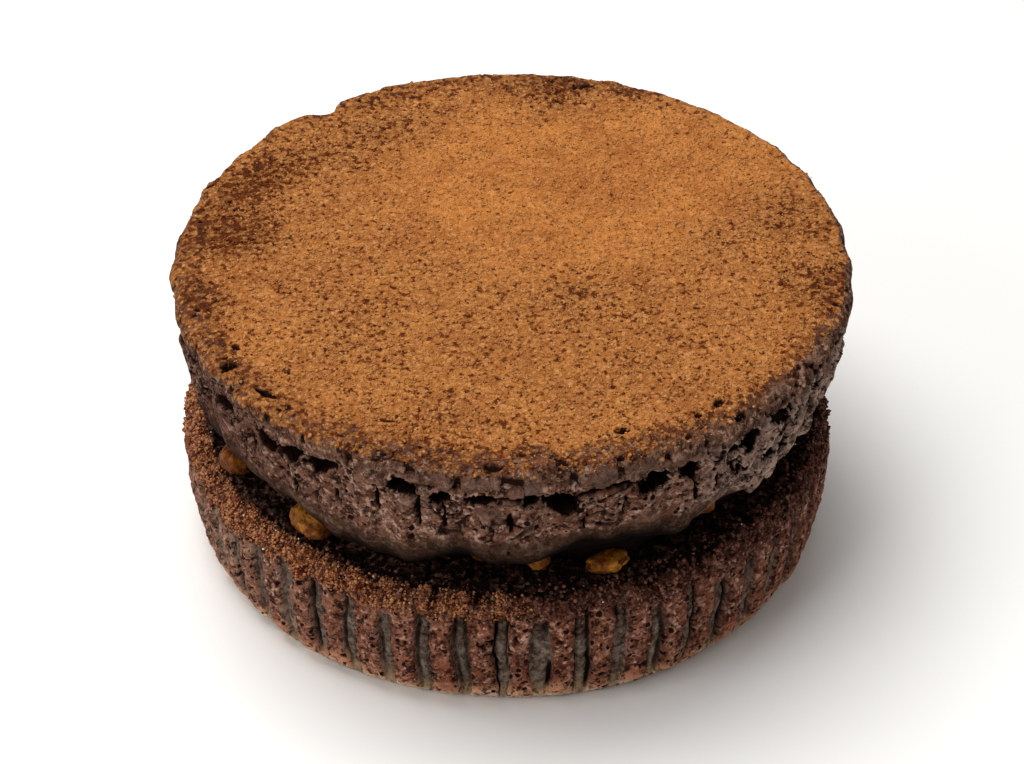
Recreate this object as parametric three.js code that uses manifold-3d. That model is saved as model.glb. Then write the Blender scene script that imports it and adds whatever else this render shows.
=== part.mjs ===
// A chocolate sandwich cookie: two soft cocoa cakes baked in pleated paper cups, with dark ganache
// and pieces of candied orange peel pressed between them.
//
// Millimetres, +Z up. The origin is the middle of the object's outline, on the plane it stands on.
// Azimuths are degrees about +Z, counted from +X; the front is at -90.

import * as THREE from "three";
import { mergeVertices } from "three/addons/utils/BufferGeometryUtils.js";
import Module from "manifold-3d";

// ---- Driving dimensions ------------------------------------------------------------------------

const LOWER_THICKNESS = 14.8; // the lower cake, from its foot to its dusted top
const FILLING_THICKNESS = 3.4; // between the two cakes
const UPPER_THICKNESS = 14.2; // the upper cake, from its flat underside to its dusted crust
const GAP = 0.25; // clearance between neighbouring pieces

const PLEATS = 54; // pleats of a paper cup, pressed into the wall of each cake
const PLEAT_PHASE = -141; // azimuth of the middle of one ridge
const RIDGE_SHARE = 0.5; // part of a pleat's width that is ridge
const CHANNEL_SHARE = 0.34; // part of a pleat's width that is the floor of the channel
const PLEAT_DEPTH = 0.75; // from the ridge down to the floor of the channel
const PLEAT_UNEVENNESS = 0.22; // how far one ridge may stand out or sink in
const RIDGE_SHIFT = 0.05; // how far one ridge may lie to a side, in pleats
const CHANNEL_UNEVENNESS = 0.3; // how much deeper or shallower a channel may be, as a share

const LOWER_SHIFT = -0.5; // the lower cake sits a little to the left of the upper one
const FILLING_RADIUS = 28.2; // the ganache stops this far out, short of the cakes' edges
const FILLING_BULGE = 0.4; // its edge bulges between the cakes
const FILLING_ROUNDING = { r: 0.8, z: 0.5 }; // and is rounded above and below
const FILLING_SQUEEZE = 0.6; // how far its outline swells in and out
const FILLING_COLUMNS = 72; // facets round its edge

const PITCH = 360 / PLEATS;
const UPPER_BASE = LOWER_THICKNESS + FILLING_THICKNESS;
const TOP = UPPER_BASE + UPPER_THICKNESS;

// The crust of the upper cake has lost a chip at the back.
const RIM_CHIP = { azimuth: 127, halfWidth: 4.5, depth: 1.2 };
const RIM_CORNER = { azimuth: 136, halfWidth: 6, depth: -0.4 }; // it stands proud beside the chip

// Torn hollows under the crust: azimuth and half width. The far side is filled in by rule.
const TEARS = [
  [-143.4, 3], [-134.6, 2.3], [-128.4, 2.1], [-122.1, 2.9], [-107.4, 2.2], [-101.3, 2], [-95.1, 1.4],
  [-87.2, 1.5], [-82.1, 2.3], [-67.1, 1.8], [-61.1, 1.8], [-47.9, 2], [-38, 2], [-27, 2.4],
];
const TEAR_DEPTH = 2.1;
const TEAR_SLOPE = 1; // how far its sides slope beyond its half width, in degrees
const FAR_SIDE = { from: -14, to: 205 }; // azimuths that the rule for tears covers
const FAR_TEAR = { narrowest: 1.4, widest: 3 }; // half widths
const FAR_STEP = { shortest: 5.1, longest: 11.9 }; // from one tear to the next

// How far the upper cake's lower edge stands above its usual height: azimuth and rise.
const EDGE_RISE = [
  [-165, 0.3], [-148, 0.4], [-130, 0.6], [-121, -1.2], [-108, -1.3], [-99, 1], [-92, -0.3], [-86, 0],
  [-78, 2], [-69, 1.3], [-61, -0.2], [-49, 2.2], [-44, 1.2], [-41, 2.5], [-37, 0.8], [-33, 2.3],
  [-22, 1.6], [0, 1.2], [55, 0.4], [95, 1.2], [130, 0.2], [160, 1.1],
];

// Where the lower edge is torn into flakes instead of rounded, and the crust's rim slopes.
const RAGGED_SIDE = { azimuth: -32, halfWidth: 42 };
const FLAKE_HEIGHT = 1; // on the torn side
const EDGE_CRUMBS = 0.25; // share of that height elsewhere
const CRUST_SLOPE = 0.7;

// How far the wall's outline and the crust's rim wander in and out.
const LOWER_WANDER = 0.15;
const UPPER_WANDER = 0.12;
const RIM_PLATES = 0.28;
const RIM_CRUMBS = 0.12;

// The profiles run from the middle of the underside, round the edge, to the middle of the top.
// r, z: radius and height. pleat: how much of the cup's pleats shows there. rise: how much the
// station follows EDGE_RISE. flake: torn flakes. tear: the hollows under the crust. lip: the
// uneven outline of the crust. uneven: height of the gentle swells on a flat face.
const LOWER_PROFILE = [
  { r: 0, z: 0 },
  { r: 31.6, z: 0 },
  { r: 32.6, z: 0.9, pleat: 0.2 },
  { r: 33.3, z: 2.2, pleat: 0.7 },
  { r: 33.8, z: 4.4, pleat: 1 },
  { r: 34.3, z: 8.4, pleat: 1 },
  { r: 34.25, z: 12.2, pleat: 1 },
  { r: 33.9, z: 13.7, pleat: 0.8 },
  { r: 33, z: 14.5, pleat: 0.3 },
  { r: 31.4, z: LOWER_THICKNESS - 0.05, uneven: 0.05 },
  { r: 0, z: LOWER_THICKNESS },
];
const UPPER_PROFILE = [
  { r: 0, z: UPPER_BASE },
  { r: 30, z: UPPER_BASE },
  { r: 31.4, z: 18.6, rise: 0.5 },
  { r: 32.6, z: 19.3, rise: 1, flake: 1, pleat: 0.15 },
  { r: 33.5, z: 20.8, rise: 0.9, flake: 0.8, pleat: 0.25 },
  { r: 33.9, z: 23.2, rise: 0.45, flake: 0.3, pleat: 0.35 },
  { r: 34.25, z: 25.6, rise: 0.1, pleat: 0.4 },
  { r: 34.4, z: 27.3, pleat: 0.4 },
  { r: 34.15, z: 28, tear: 0.9, pleat: 0.3 },
  { r: 34, z: 29, tear: 1 },
  { r: 34.5, z: 29.5, tear: 0.3, lip: 0.8 },
  { r: 35.05, z: 30.2, lip: 1 },
  { r: 35.1, z: 31.3, lip: 0.8, slope: 0.9 },
  { r: 34.5, z: 32.1, lip: 0.5, slope: 0.8 },
  { r: 33, z: TOP, uneven: 0.12, slope: 0.2 },
  { r: 25, z: TOP, uneven: 0.15 },
  { r: 0, z: TOP },
];

// Pieces of peel: azimuth and radius of the middle, width along the edge, depth towards the
// middle of the cookie, height, height of the underside above the lower cake, and turn.
const PEEL = [
  { azimuth: -154, radius: 31.5, width: 4, depth: 3.4, height: 2.7, lift: 0, turn: 12 },
  { azimuth: -130.5, radius: 30.8, width: 5, depth: 3.6, height: 2.9, lift: 0, turn: -8 },
  { azimuth: -97, radius: 27.6, width: 2, depth: 2.6, height: 2.2, lift: 0.2, turn: 20 },
  { azimuth: -85.3, radius: 29, width: 2.5, depth: 2.8, height: 2.5, lift: 0.3, turn: 30 },
  { azimuth: -72, radius: 30.2, width: 4.9, depth: 2.6, height: 1.7, lift: 0, turn: 5 },
  { azimuth: -48, radius: 28.4, width: 2.8, depth: 2.6, height: 2.3, lift: 0.6, turn: -25 },
  { azimuth: -6, radius: 29.3, width: 4.2, depth: 3.6, height: 2.6, lift: 0, turn: 15 },
  { azimuth: 33, radius: 28.6, width: 3.4, depth: 3, height: 2.7, lift: 0.1, turn: -30 },
  { azimuth: 72, radius: 29.6, width: 4.6, depth: 3.4, height: 2.4, lift: 0, turn: 8 },
  { azimuth: 112, radius: 28.3, width: 2.6, depth: 3, height: 2.4, lift: 0.4, turn: 40 },
  { azimuth: 154, radius: 29.4, width: 4, depth: 3.8, height: 2.7, lift: 0, turn: -15 },
];
const PEEL_SQUARENESS = 4; // 2 is a ball, more is nearer to a box
const PEEL_DENT = 0.16; // how far a corner may be dented, as a share
const FIRST_PEEL_SEED = 100; // each piece is dented in its own way

// ---- Colours -----------------------------------------------------------------------------------

const dustedCake = new THREE.MeshStandardMaterial({ color: 0x8a5a35, roughness: 0.95, metalness: 0 });
const pleatedCake = new THREE.MeshStandardMaterial({ color: 0x4c352d, roughness: 0.9, metalness: 0 });
const ganache = new THREE.MeshStandardMaterial({ color: 0x1c0f0a, roughness: 0.45, metalness: 0 });
const candiedPeel = new THREE.MeshStandardMaterial({ color: 0xb4701c, roughness: 0.35, metalness: 0 });

// ---- Unevenness --------------------------------------------------------------------------------

// Seeded random numbers from 0 to 1, the same in every run.
function seededRandom(seed) {
  let state = seed;
  return () => {
    state = (state + 0x6d2b79f5) | 0;
    let mixed = Math.imul(state ^ (state >>> 15), 1 | state);
    mixed = (mixed + Math.imul(mixed ^ (mixed >>> 7), 61 | mixed)) ^ mixed;
    return ((mixed ^ (mixed >>> 14)) >>> 0) / 2 ** 32;
  };
}

// A random number from -1 to 1.
function eitherWay(random) {
  return 2 * random() - 1;
}

// A smooth closed wave round the cookie, about -1 to 1 high, with the given numbers of swells.
function swells(counts, random) {
  const phases = counts.map(() => 360 * random());
  const turn = THREE.MathUtils.degToRad;
  return (azimuth) => {
    const sum = counts.reduce((total, n, i) => total + Math.sin(turn(n * azimuth + phases[i])), 0);
    return sum / Math.sqrt(counts.length);
  };
}

// The angle from one azimuth to another, from -180 to 180.
function angleBetween(from, to) {
  return THREE.MathUtils.euclideanModulo(to - from + 180, 360) - 180;
}

// 1 at the middle of a feature, falling smoothly to 0 at its half width.
function nearness(azimuth, middle, halfWidth) {
  const reach = Math.abs(angleBetween(middle, azimuth)) / halfWidth;
  return 1 - THREE.MathUtils.smoothstep(reach, 0, 1);
}

// A height read off a ring of [azimuth, height] pairs, eased from each to the next.
function readRing(ring, azimuth) {
  for (let i = 0; i < ring.length; i++) {
    const [from, start] = ring[i];
    const [to, end] = ring[(i + 1) % ring.length];
    const span = THREE.MathUtils.euclideanModulo(to - from, 360);
    const along = THREE.MathUtils.euclideanModulo(azimuth - from, 360);
    if (along <= span) return THREE.MathUtils.lerp(start, end, THREE.MathUtils.smoothstep(along, 0, span));
  }
  return ring[0][1];
}

// ---- Cakes -------------------------------------------------------------------------------------

// A closed round body: a lathe of the profile whose every vertex is then put where place() says.
function roundBody(profile, columns, place) {
  const outline = profile.map(({ r, z }) => new THREE.Vector2(r, z));
  const geometry = new THREE.LatheGeometry(outline, columns);
  geometry.deleteAttribute("normal");
  geometry.deleteAttribute("uv");
  const position = geometry.attributes.position;
  for (let i = 0; i < position.count; i++) {
    const column = Math.floor(i / profile.length) % columns;
    const station = profile[i % profile.length];
    const [azimuth, r, z] = station.r > 0 ? place(column, station) : [0, 0, station.z];
    const angle = THREE.MathUtils.degToRad(azimuth);
    position.setXYZ(i, r * Math.cos(angle), r * Math.sin(angle), z);
  }
  return mergeVertices(geometry, 1e-4);
}

// The four columns of one pleat: both edges of its ridge, then both edges of the channel's floor.
// offset: how far from the ridge's middle, in pleats.
const PLEAT_COLUMNS = [
  { offset: -RIDGE_SHARE / 2, onRidge: true },
  { offset: RIDGE_SHARE / 2, onRidge: true },
  { offset: (1 - CHANNEL_SHARE) / 2, onRidge: false },
  { offset: (1 + CHANNEL_SHARE) / 2, onRidge: false },
];

// The lower cake, with the cup's pleats deep and square in its wall.
function lowerCake() {
  const random = seededRandom(11);
  const perPleat = PLEAT_COLUMNS.length;
  const outline = swells([2, 3, 7], random);
  const top = swells([3, 5, 8], random);
  const ridges = Array.from({ length: PLEATS }, () => ({
    shift: RIDGE_SHIFT * eitherWay(random),
    proud: PLEAT_UNEVENNESS * eitherWay(random),
    depth: PLEAT_DEPTH * (1 + CHANNEL_UNEVENNESS * eitherWay(random)),
  }));
  const geometry = roundBody(LOWER_PROFILE, perPleat * PLEATS, (column, station) => {
    const { pleat = 0, uneven = 0 } = station;
    const { offset, onRidge } = PLEAT_COLUMNS[column % perPleat];
    const number = Math.floor(column / perPleat);
    const { shift, proud, depth } = ridges[number];
    const azimuth = PLEAT_PHASE + PITCH * (number + offset + (onRidge ? shift : 0));
    const relief = onRidge ? proud : -depth;
    const r = station.r + LOWER_WANDER * outline(azimuth) + pleat * relief;
    return [azimuth, r, station.z + uneven * top(azimuth)];
  });
  return geometry.translate(LOWER_SHIFT, 0, 0);
}

// The tears under the crust: those listed, and more round the far side at uneven steps.
function allTears(random) {
  const tears = [...TEARS];
  for (let azimuth = FAR_SIDE.from; azimuth < FAR_SIDE.to; ) {
    tears.push([azimuth, THREE.MathUtils.lerp(FAR_TEAR.narrowest, FAR_TEAR.widest, random())]);
    azimuth += THREE.MathUtils.lerp(FAR_STEP.shortest, FAR_STEP.longest, random());
  }
  return tears;
}

// The upper cake: smooth rounded base edge, crumb wall, torn hollows, and a crust that overhangs.
function upperCake() {
  const random = seededRandom(23);
  const perPleat = PLEAT_COLUMNS.length;
  const columns = perPleat * PLEATS;
  const tears = allTears(random);
  const outline = swells([2, 3, 5, 9], random);
  const plates = swells([17, 29, 41], random);
  const top = swells([3, 4, 7], random);
  const flakes = Array.from({ length: columns }, () => eitherWay(random));
  const crumbs = Array.from({ length: columns }, () => eitherWay(random));
  return roundBody(UPPER_PROFILE, columns, (column, station) => {
    const { pleat = 0, rise = 0, flake = 0, tear = 0, lip = 0, uneven = 0, slope = 0 } = station;
    const azimuth = PLEAT_PHASE + (360 * column) / columns;
    const ragged = nearness(azimuth, RAGGED_SIDE.azimuth, RAGGED_SIDE.halfWidth);
    const hollows = tears.map(([middle, halfWidth]) => nearness(azimuth, middle, halfWidth + TEAR_SLOPE));
    const hollow = Math.max(...hollows);
    const chip = [RIM_CHIP, RIM_CORNER]
      .map(({ azimuth: middle, halfWidth, depth }) => depth * nearness(azimuth, middle, halfWidth))
      .reduce((total, cut) => total + cut);
    const ridge = Math.cos((2 * Math.PI * column) / perPleat);
    let r = station.r + UPPER_WANDER * outline(azimuth);
    r += pleat * PLEAT_DEPTH * ridge;
    r -= tear * TEAR_DEPTH * hollow;
    r += lip * (RIM_PLATES * plates(azimuth) + RIM_CRUMBS * crumbs[column] - chip);
    let z = station.z + rise * readRing(EDGE_RISE, azimuth);
    z += flake * FLAKE_HEIGHT * THREE.MathUtils.lerp(EDGE_CRUMBS, 1, ragged) * flakes[column];
    z -= slope * CRUST_SLOPE * ragged;
    z += uneven * top(azimuth);
    return [azimuth, r, z];
  });
}

// ---- Filling -----------------------------------------------------------------------------------

// One diced piece of peel, as a rounded block; grown makes it larger on every side.
function peelPiece({ azimuth, radius, width, depth, height, lift, turn }, seed, grown = 0) {
  const random = seededRandom(seed);
  const geometry = new THREE.IcosahedronGeometry(1, 1);
  geometry.deleteAttribute("normal");
  geometry.deleteAttribute("uv");
  const block = mergeVertices(geometry, 1e-4);
  const position = block.attributes.position;
  const corner = new THREE.Vector3();
  for (let i = 0; i < position.count; i++) {
    corner.fromBufferAttribute(position, i);
    const powers = corner.toArray().map((x) => Math.abs(x) ** PEEL_SQUARENESS);
    const size = (powers[0] + powers[1] + powers[2]) ** (1 / PEEL_SQUARENESS);
    corner.multiplyScalar((1 - PEEL_DENT * random()) / size);
    corner.multiply(new THREE.Vector3(depth / 2 + grown, width / 2 + grown, height / 2 + grown));
    position.setXYZ(i, corner.x, corner.y, corner.z);
  }
  block.rotateZ(THREE.MathUtils.degToRad(turn));
  block.translate(radius, 0, LOWER_THICKNESS + GAP + lift + height / 2);
  block.rotateZ(THREE.MathUtils.degToRad(azimuth));
  return block;
}

// The layer of ganache, with an uneven edge that bulges between the two cakes.
function ganacheLayer() {
  const random = seededRandom(37);
  const squeezed = swells([2, 5, 9, 13], random);
  const floor = LOWER_THICKNESS + GAP;
  const roof = UPPER_BASE - GAP;
  const middle = (floor + roof) / 2;
  const profile = [
    { r: 0, z: floor },
    { r: FILLING_RADIUS - FILLING_ROUNDING.r, z: floor },
    { r: FILLING_RADIUS, z: floor + FILLING_ROUNDING.z },
    { r: FILLING_RADIUS + FILLING_BULGE, z: middle },
    { r: FILLING_RADIUS, z: roof - FILLING_ROUNDING.z },
    { r: FILLING_RADIUS - FILLING_ROUNDING.r, z: roof },
    { r: 0, z: roof },
  ];
  return roundBody(profile, FILLING_COLUMNS, (column, station) => {
    const azimuth = (360 * column) / FILLING_COLUMNS;
    return [azimuth, station.r + FILLING_SQUEEZE * squeezed(azimuth), station.z];
  });
}

// ---- Cutting -----------------------------------------------------------------------------------

const wasm = await Module();
wasm.setup();

function toSolid(geometry) {
  const mesh = new wasm.Mesh({
    numProp: 3,
    vertProperties: geometry.attributes.position.array,
    triVerts: new Uint32Array(geometry.index.array),
  });
  return new wasm.Manifold(mesh);
}

function toGeometry(solid) {
  const { vertProperties, triVerts } = solid.getMesh();
  const geometry = new THREE.BufferGeometry();
  geometry.setAttribute("position", new THREE.BufferAttribute(vertProperties, 3));
  geometry.setIndex(new THREE.BufferAttribute(triVerts, 1));
  return geometry;
}

// The ganache with a pocket for each piece of peel that is pressed into its edge.
function ganacheAroundPeel() {
  const pockets = PEEL.map((piece, i) => toSolid(peelPiece(piece, FIRST_PEEL_SEED + i, GAP)));
  const cut = pockets.reduce((layer, pocket) => layer.subtract(pocket), toSolid(ganacheLayer()));
  return toGeometry(cut);
}

// ---- The cookie --------------------------------------------------------------------------------

const cookie = new THREE.Group();

function add(name, geometry, material) {
  geometry.computeVertexNormals();
  const mesh = new THREE.Mesh(geometry, material);
  mesh.name = name;
  cookie.add(mesh);
}

add("lower_cookie", lowerCake(), pleatedCake);
add("upper_cookie", upperCake(), dustedCake);
add("ganache_filling", ganacheAroundPeel(), ganache);
PEEL.forEach((piece, i) => {
  add(`orange_peel_${i + 1}`, peelPiece(piece, FIRST_PEEL_SEED + i), candiedPeel);
});

// Put the middle of the outline over the origin.
const middle = new THREE.Box3().setFromObject(cookie).getCenter(new THREE.Vector3());
cookie.position.set(-middle.x, -middle.y, 0);

export default cookie;
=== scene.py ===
# %% [markdown]
# # A chocolate sandwich cookie
# Two soft cocoa cakes, each baked in a pleated paper cup, with dark ganache and diced candied
# orange peel between them, and cocoa powder sifted over the top. The solids of the frame have the
# right size and main forms. This lesson gives them crumb, pits, tears, powder and gloss.
#
# Lengths in the tables below are millimetres, and azimuths are degrees about +Z from +X, so the
# front is at -90. Blender itself works in metres.

# %% The frame
import math
from functools import partial

import bmesh
import bpy
import numpy as np
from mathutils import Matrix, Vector


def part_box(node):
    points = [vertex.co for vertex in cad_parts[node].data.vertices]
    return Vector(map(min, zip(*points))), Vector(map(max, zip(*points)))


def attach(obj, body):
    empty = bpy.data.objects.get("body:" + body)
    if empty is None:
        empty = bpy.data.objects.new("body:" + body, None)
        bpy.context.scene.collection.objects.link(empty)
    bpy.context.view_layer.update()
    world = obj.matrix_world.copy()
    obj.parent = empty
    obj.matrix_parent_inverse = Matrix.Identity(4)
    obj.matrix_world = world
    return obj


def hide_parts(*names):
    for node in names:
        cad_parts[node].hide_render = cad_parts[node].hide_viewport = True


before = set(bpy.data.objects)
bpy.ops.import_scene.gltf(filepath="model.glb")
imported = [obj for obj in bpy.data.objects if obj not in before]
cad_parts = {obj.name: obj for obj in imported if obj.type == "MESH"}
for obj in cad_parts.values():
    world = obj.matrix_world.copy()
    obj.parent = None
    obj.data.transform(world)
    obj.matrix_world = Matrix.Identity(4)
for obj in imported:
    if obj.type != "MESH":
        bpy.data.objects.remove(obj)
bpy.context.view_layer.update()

MM = 0.001
print("frame holds", len(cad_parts), "solids")

# %% Where the cakes are
def read_positions(mesh):
    """The vertices' positions in metres, one row each."""
    flat = np.zeros(3 * len(mesh.vertices), np.float32)
    mesh.vertices.foreach_get("co", flat)
    return flat.reshape(-1, 3).astype(float)


def axis_of(node):
    """Where the axis of a cake stands, in millimetres: at the hub of its flat underside."""
    low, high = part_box(node)
    corners = read_positions(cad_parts[node].data)
    underside = corners[corners[:, 2] < low.z + MM]
    middle = ((low + high) / 2)[:2]
    hub = underside[np.argmin(np.hypot(*(underside[:, :2] - middle).T))]
    return hub[:2] / MM


lower_middle = axis_of("lower_cookie")
upper_middle = axis_of("upper_cookie")
print("axes at", lower_middle.round(2), "and", upper_middle.round(2))

# %% [markdown]
# ## The camera
# A portrait lens, 300 mm away and looking down at the cookie, keeps the circles of the two cakes
# close to true ellipses.

# %% Camera
CAMERA_DISTANCE = 300
CAMERA_ELEVATION = 38.4
CAMERA_LENS = 99.3
TARGET_SHIFT = -0.04
TARGET_HEIGHT = 15.48


def make_camera():
    """The camera, in front of the cookie and looking down at its middle."""
    slope = math.radians(CAMERA_ELEVATION)
    target = Vector((upper_middle[0] + TARGET_SHIFT, upper_middle[1], TARGET_HEIGHT)) * MM
    back = Vector((0, -math.cos(slope), math.sin(slope)))
    camera = bpy.data.objects.new("camera", bpy.data.cameras.new("camera"))
    camera.data.lens = CAMERA_LENS
    camera.data.clip_start = 0.01
    camera.location = target + back * CAMERA_DISTANCE * MM
    camera.rotation_euler = (math.radians(90 - CAMERA_ELEVATION), 0, 0)
    bpy.context.scene.collection.objects.link(camera)
    bpy.context.scene.camera = camera
    return camera


camera = make_camera()
print("camera at", tuple(round(x, 3) for x in camera.location))

# %% [markdown]
# ## Nodes and colours
# A material in Blender is a small network of nodes. One helper adds a node with its options and
# its inputs. What comes out is wrapped as a value that adds and multiplies like a number, so that
# a pattern reads like a formula. Colours are written as the hex values that a screen shows, and
# are turned to the linear values that light is worked out in.

# %% A node, a value, a colour
def linear(hex_colour):
    """A screen colour such as "#b5763a" as linear red, green, blue and alpha."""
    parts = [int(hex_colour[i:i + 2], 16) / 255 for i in (1, 3, 5)]
    return [c / 12.92 if c <= 0.04045 else ((c + 0.055) / 1.055) ** 2.4 for c in parts] + [1.0]


def add_node(tree, kind, options=None, inputs=None, output=0):
    """Adds a node and gives one of its outputs. Inputs are numbers, hex colours or values."""
    node = tree.nodes.new(kind)
    for name, option in (options or {}).items():
        setattr(node, name, option)
    for name, source in (inputs or {}).items():
        if isinstance(source, Value):
            tree.links.new(source.socket, node.inputs[name])
        else:
            node.inputs[name].default_value = linear(source) if isinstance(source, str) else source
    return Value(node.outputs[output])


class Value:
    """What comes out of a node. It adds, subtracts and multiplies like a number."""

    def __init__(self, socket):
        self.socket = socket
        self.tree = socket.id_data

    def calculated(self, operation, first, second):
        """The first number and the second, put through one arithmetic operation."""
        return add_node(self.tree, "ShaderNodeMath", {"operation": operation}, {0: first, 1: second})

    def __add__(self, other):
        return self.calculated("ADD", self, other)

    def __sub__(self, other):
        return self.calculated("SUBTRACT", self, other)

    def __rsub__(self, other):
        return self.calculated("SUBTRACT", other, self)

    def __mul__(self, other):
        return self.calculated("MULTIPLY", self, other)

    __rmul__ = __mul__

    def at_least(self, other):
        """The larger of this value and the other."""
        return self.calculated("MAXIMUM", self, other)

    def at_most(self, other):
        """The smaller of this value and the other."""
        return self.calculated("MINIMUM", self, other)

    def stepped(self, low, high):
        """0 where the value is under low and 1 where it is over high, eased between."""
        span = {"Value": self, "From Min": low, "From Max": high}
        return add_node(self.tree, "ShaderNodeMapRange", {"interpolation_type": "SMOOTHSTEP"}, span)


print("cocoa brown is", [round(c, 3) for c in linear("#b5763a")])

# %% Coats of colour
def coated(colour, *coats):
    """The colour under coats. Each coat is given by its share, from 0 to 1, and its own colour."""
    for share, coat in coats:
        tree = next(part.tree for part in (share, colour, coat) if isinstance(part, Value))
        parts = {0: share, 6: colour, 7: coat}
        colour = add_node(tree, "ShaderNodeMix", {"data_type": "RGBA"}, parts, 2)
    return colour


def painted(tree, *names):
    """Values that are stored on the mesh's vertices: one for each name."""
    kind = "ShaderNodeAttribute"
    values = [add_node(tree, kind, {"attribute_name": name}, output="Fac") for name in names]
    return values if len(values) > 1 else values[0]


def new_material(name, finish):
    """A material whose Principled shader has the settings in finish, with its tree."""
    material = bpy.data.materials.new(name)
    material.use_nodes = True
    for socket, value in finish.items():
        material.node_tree.nodes["Principled BSDF"].inputs[socket].default_value = value
    return material, material.node_tree


def cover(tree, colour, height=None, depth_mm=0.0):
    """Gives the shader its colour, and makes height, from 0 to 1, look depth_mm deep."""
    shader = tree.nodes["Principled BSDF"]
    tree.links.new(colour.socket, shader.inputs["Base Color"])
    if height:
        relief = {"Height": height, "Distance": depth_mm * MM, "Strength": 1.0}
        tree.links.new(add_node(tree, "ShaderNodeBump", {}, relief).socket, shader.inputs["Normal"])


print("material helpers ready")

# %% Patterns measured in millimetres
def millimetres(tree):
    """Object coordinates in millimetres."""
    place = add_node(tree, "ShaderNodeTexCoord", output="Object")
    return add_node(tree, "ShaderNodeMapping", {}, {"Vector": place, "Scale": (1 / MM,) * 3})


def grain(tree, size, detail=2.0, roughness=0.5, shift=0.0):
    """Noise from 0 to 1 whose grains are about size millimetres across."""
    start = {0: millimetres(tree), 1: (shift,) * 3}
    place = add_node(tree, "ShaderNodeVectorMath", {"operation": "ADD"}, start)
    noise = {"Vector": place, "Scale": 1 / size, "Detail": detail, "Roughness": roughness}
    return add_node(tree, "ShaderNodeTexNoise", {}, noise)


def mottled(tree, first, second, *kind, steps=(0.35, 0.65)):
    """Two colours in patches, of the size and kind that grain takes."""
    return coated(first, (grain(tree, *kind).stepped(*steps), second))


def foam(tree, size, bend, shift):
    """Bent cells about size millimetres across: the distance to each one's middle, and a random mark."""
    noise = {"Vector": millimetres(tree), "Scale": 1.2 / size, "Detail": 1.0}
    bent = add_node(tree, "ShaderNodeTexNoise", {}, noise, "Color")
    reach = {0: bent, 1: (bend * size,) * 3, 2: millimetres(tree)}
    place = add_node(tree, "ShaderNodeVectorMath", {"operation": "MULTIPLY_ADD"}, reach)
    place = add_node(tree, "ShaderNodeVectorMath", {"operation": "ADD"}, {0: place, 1: (shift,) * 3})
    colour = add_node(tree, "ShaderNodeTexVoronoi", {}, {"Vector": place, "Scale": 1 / size}, "Color")
    distance = Value(colour.socket.node.outputs["Distance"])
    return distance, add_node(tree, "ShaderNodeSeparateColor", {}, {"Color": colour})


def pores(tree, spacing, share, shift=0.0):
    """Cut-open bubbles that lie about spacing millimetres apart: 1 in a hole, and 1 out to its rim."""
    distance, mark = foam(tree, spacing, 0.45, shift)
    reach = distance + mark * (0.42 / share)
    return reach.stepped(0.5, 0.34), reach.stepped(0.74, 0.52)


def granules(tree, size, shift=0.0):
    """Grains about size millimetres across: a random mark for each, and 1 in the cracks between."""
    distance, mark = foam(tree, size, 0.7, shift)
    return mark, distance.stepped(0.36, 0.66)


print("pattern helpers ready")

# %% [markdown]
# ## The table and the light
# A pale matt board stands under the cookie. One large soft light hangs above, a little behind and
# to the left. A weaker one stands in front on the left, and pale surroundings fill in the rest. So
# the top is bright, the sides are much darker, and the gap between the cakes is nearly black.

# %% Table
FLOOR_METRES = 3.0
FLOOR_GAP = 0.04


def pale_board():
    """Matt white laminate: an even pale ground without a reflection."""
    material, tree = new_material("matt_white_laminate", {"Roughness": 0.6})
    cover(tree, coated("#f3f1ee", (grain(tree, 40.0), "#efedea")))
    return material


def make_floor():
    """A large flat board, a hair below z = 0 so that it doesn't coincide with the cookie's foot."""
    mesh = bpy.data.meshes.new("floor")
    bm = bmesh.new()
    bmesh.ops.create_grid(bm, x_segments=1, y_segments=1, size=FLOOR_METRES / 2)
    bm.to_mesh(mesh)
    bm.free()
    mesh.materials.append(pale_board())
    floor = bpy.data.objects.new("floor", mesh)
    floor.location.z = -FLOOR_GAP * MM
    bpy.context.scene.collection.objects.link(floor)
    return floor


floor = make_floor()
print("floor is", FLOOR_METRES, "m wide")

# %% Light
SKY_STRENGTH = 0.3
LIGHTS = {
    "overhead_softbox": {"at": (-0.09, 0.07, 0.42), "size": 0.32, "watts": 2.1},
    "front_fill": {"at": (-0.34, -0.26, 0.26), "size": 0.30, "watts": 0.9},
}


def make_lights():
    """Square area lights that face the cookie, and an even pale sky."""
    for name, light in LIGHTS.items():
        data = bpy.data.lights.new(name, "AREA")
        data.size = light["size"]
        data.energy = light["watts"]
        lamp = bpy.data.objects.new(name, data)
        lamp.location = light["at"]
        aim = Vector((0, 0, TARGET_HEIGHT * MM)) - lamp.location
        lamp.rotation_euler = aim.to_track_quat("-Z", "Y").to_euler()
        bpy.context.scene.collection.objects.link(lamp)
    world = bpy.data.worlds.new("studio")
    world.use_nodes = True
    world.node_tree.nodes["Background"].inputs["Color"].default_value = (1, 1, 1, 1)
    world.node_tree.nodes["Background"].inputs["Strength"].default_value = SKY_STRENGTH
    bpy.context.scene.world = world
    bpy.context.scene.view_settings.view_transform = "Standard"


make_lights()
print("lights:", ", ".join(LIGHTS))

# %% [markdown]
# ## Unevenness in numbers
# Cake is never smooth. Three kinds of seeded noise shape everything here: swells, which rise and
# fall gently; a foam of cells, whose borders make cracks between plates; and pits, which are the
# cut-open bubbles of the crumb. They are worked out for all the vertices of a mesh at once.

# %% Steps and swells
def eased(value, low, high):
    """0 under low and 1 over high, eased between."""
    t = np.clip((value - low) / (high - low), 0, 1)
    return t * t * (3 - 2 * t)


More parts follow.
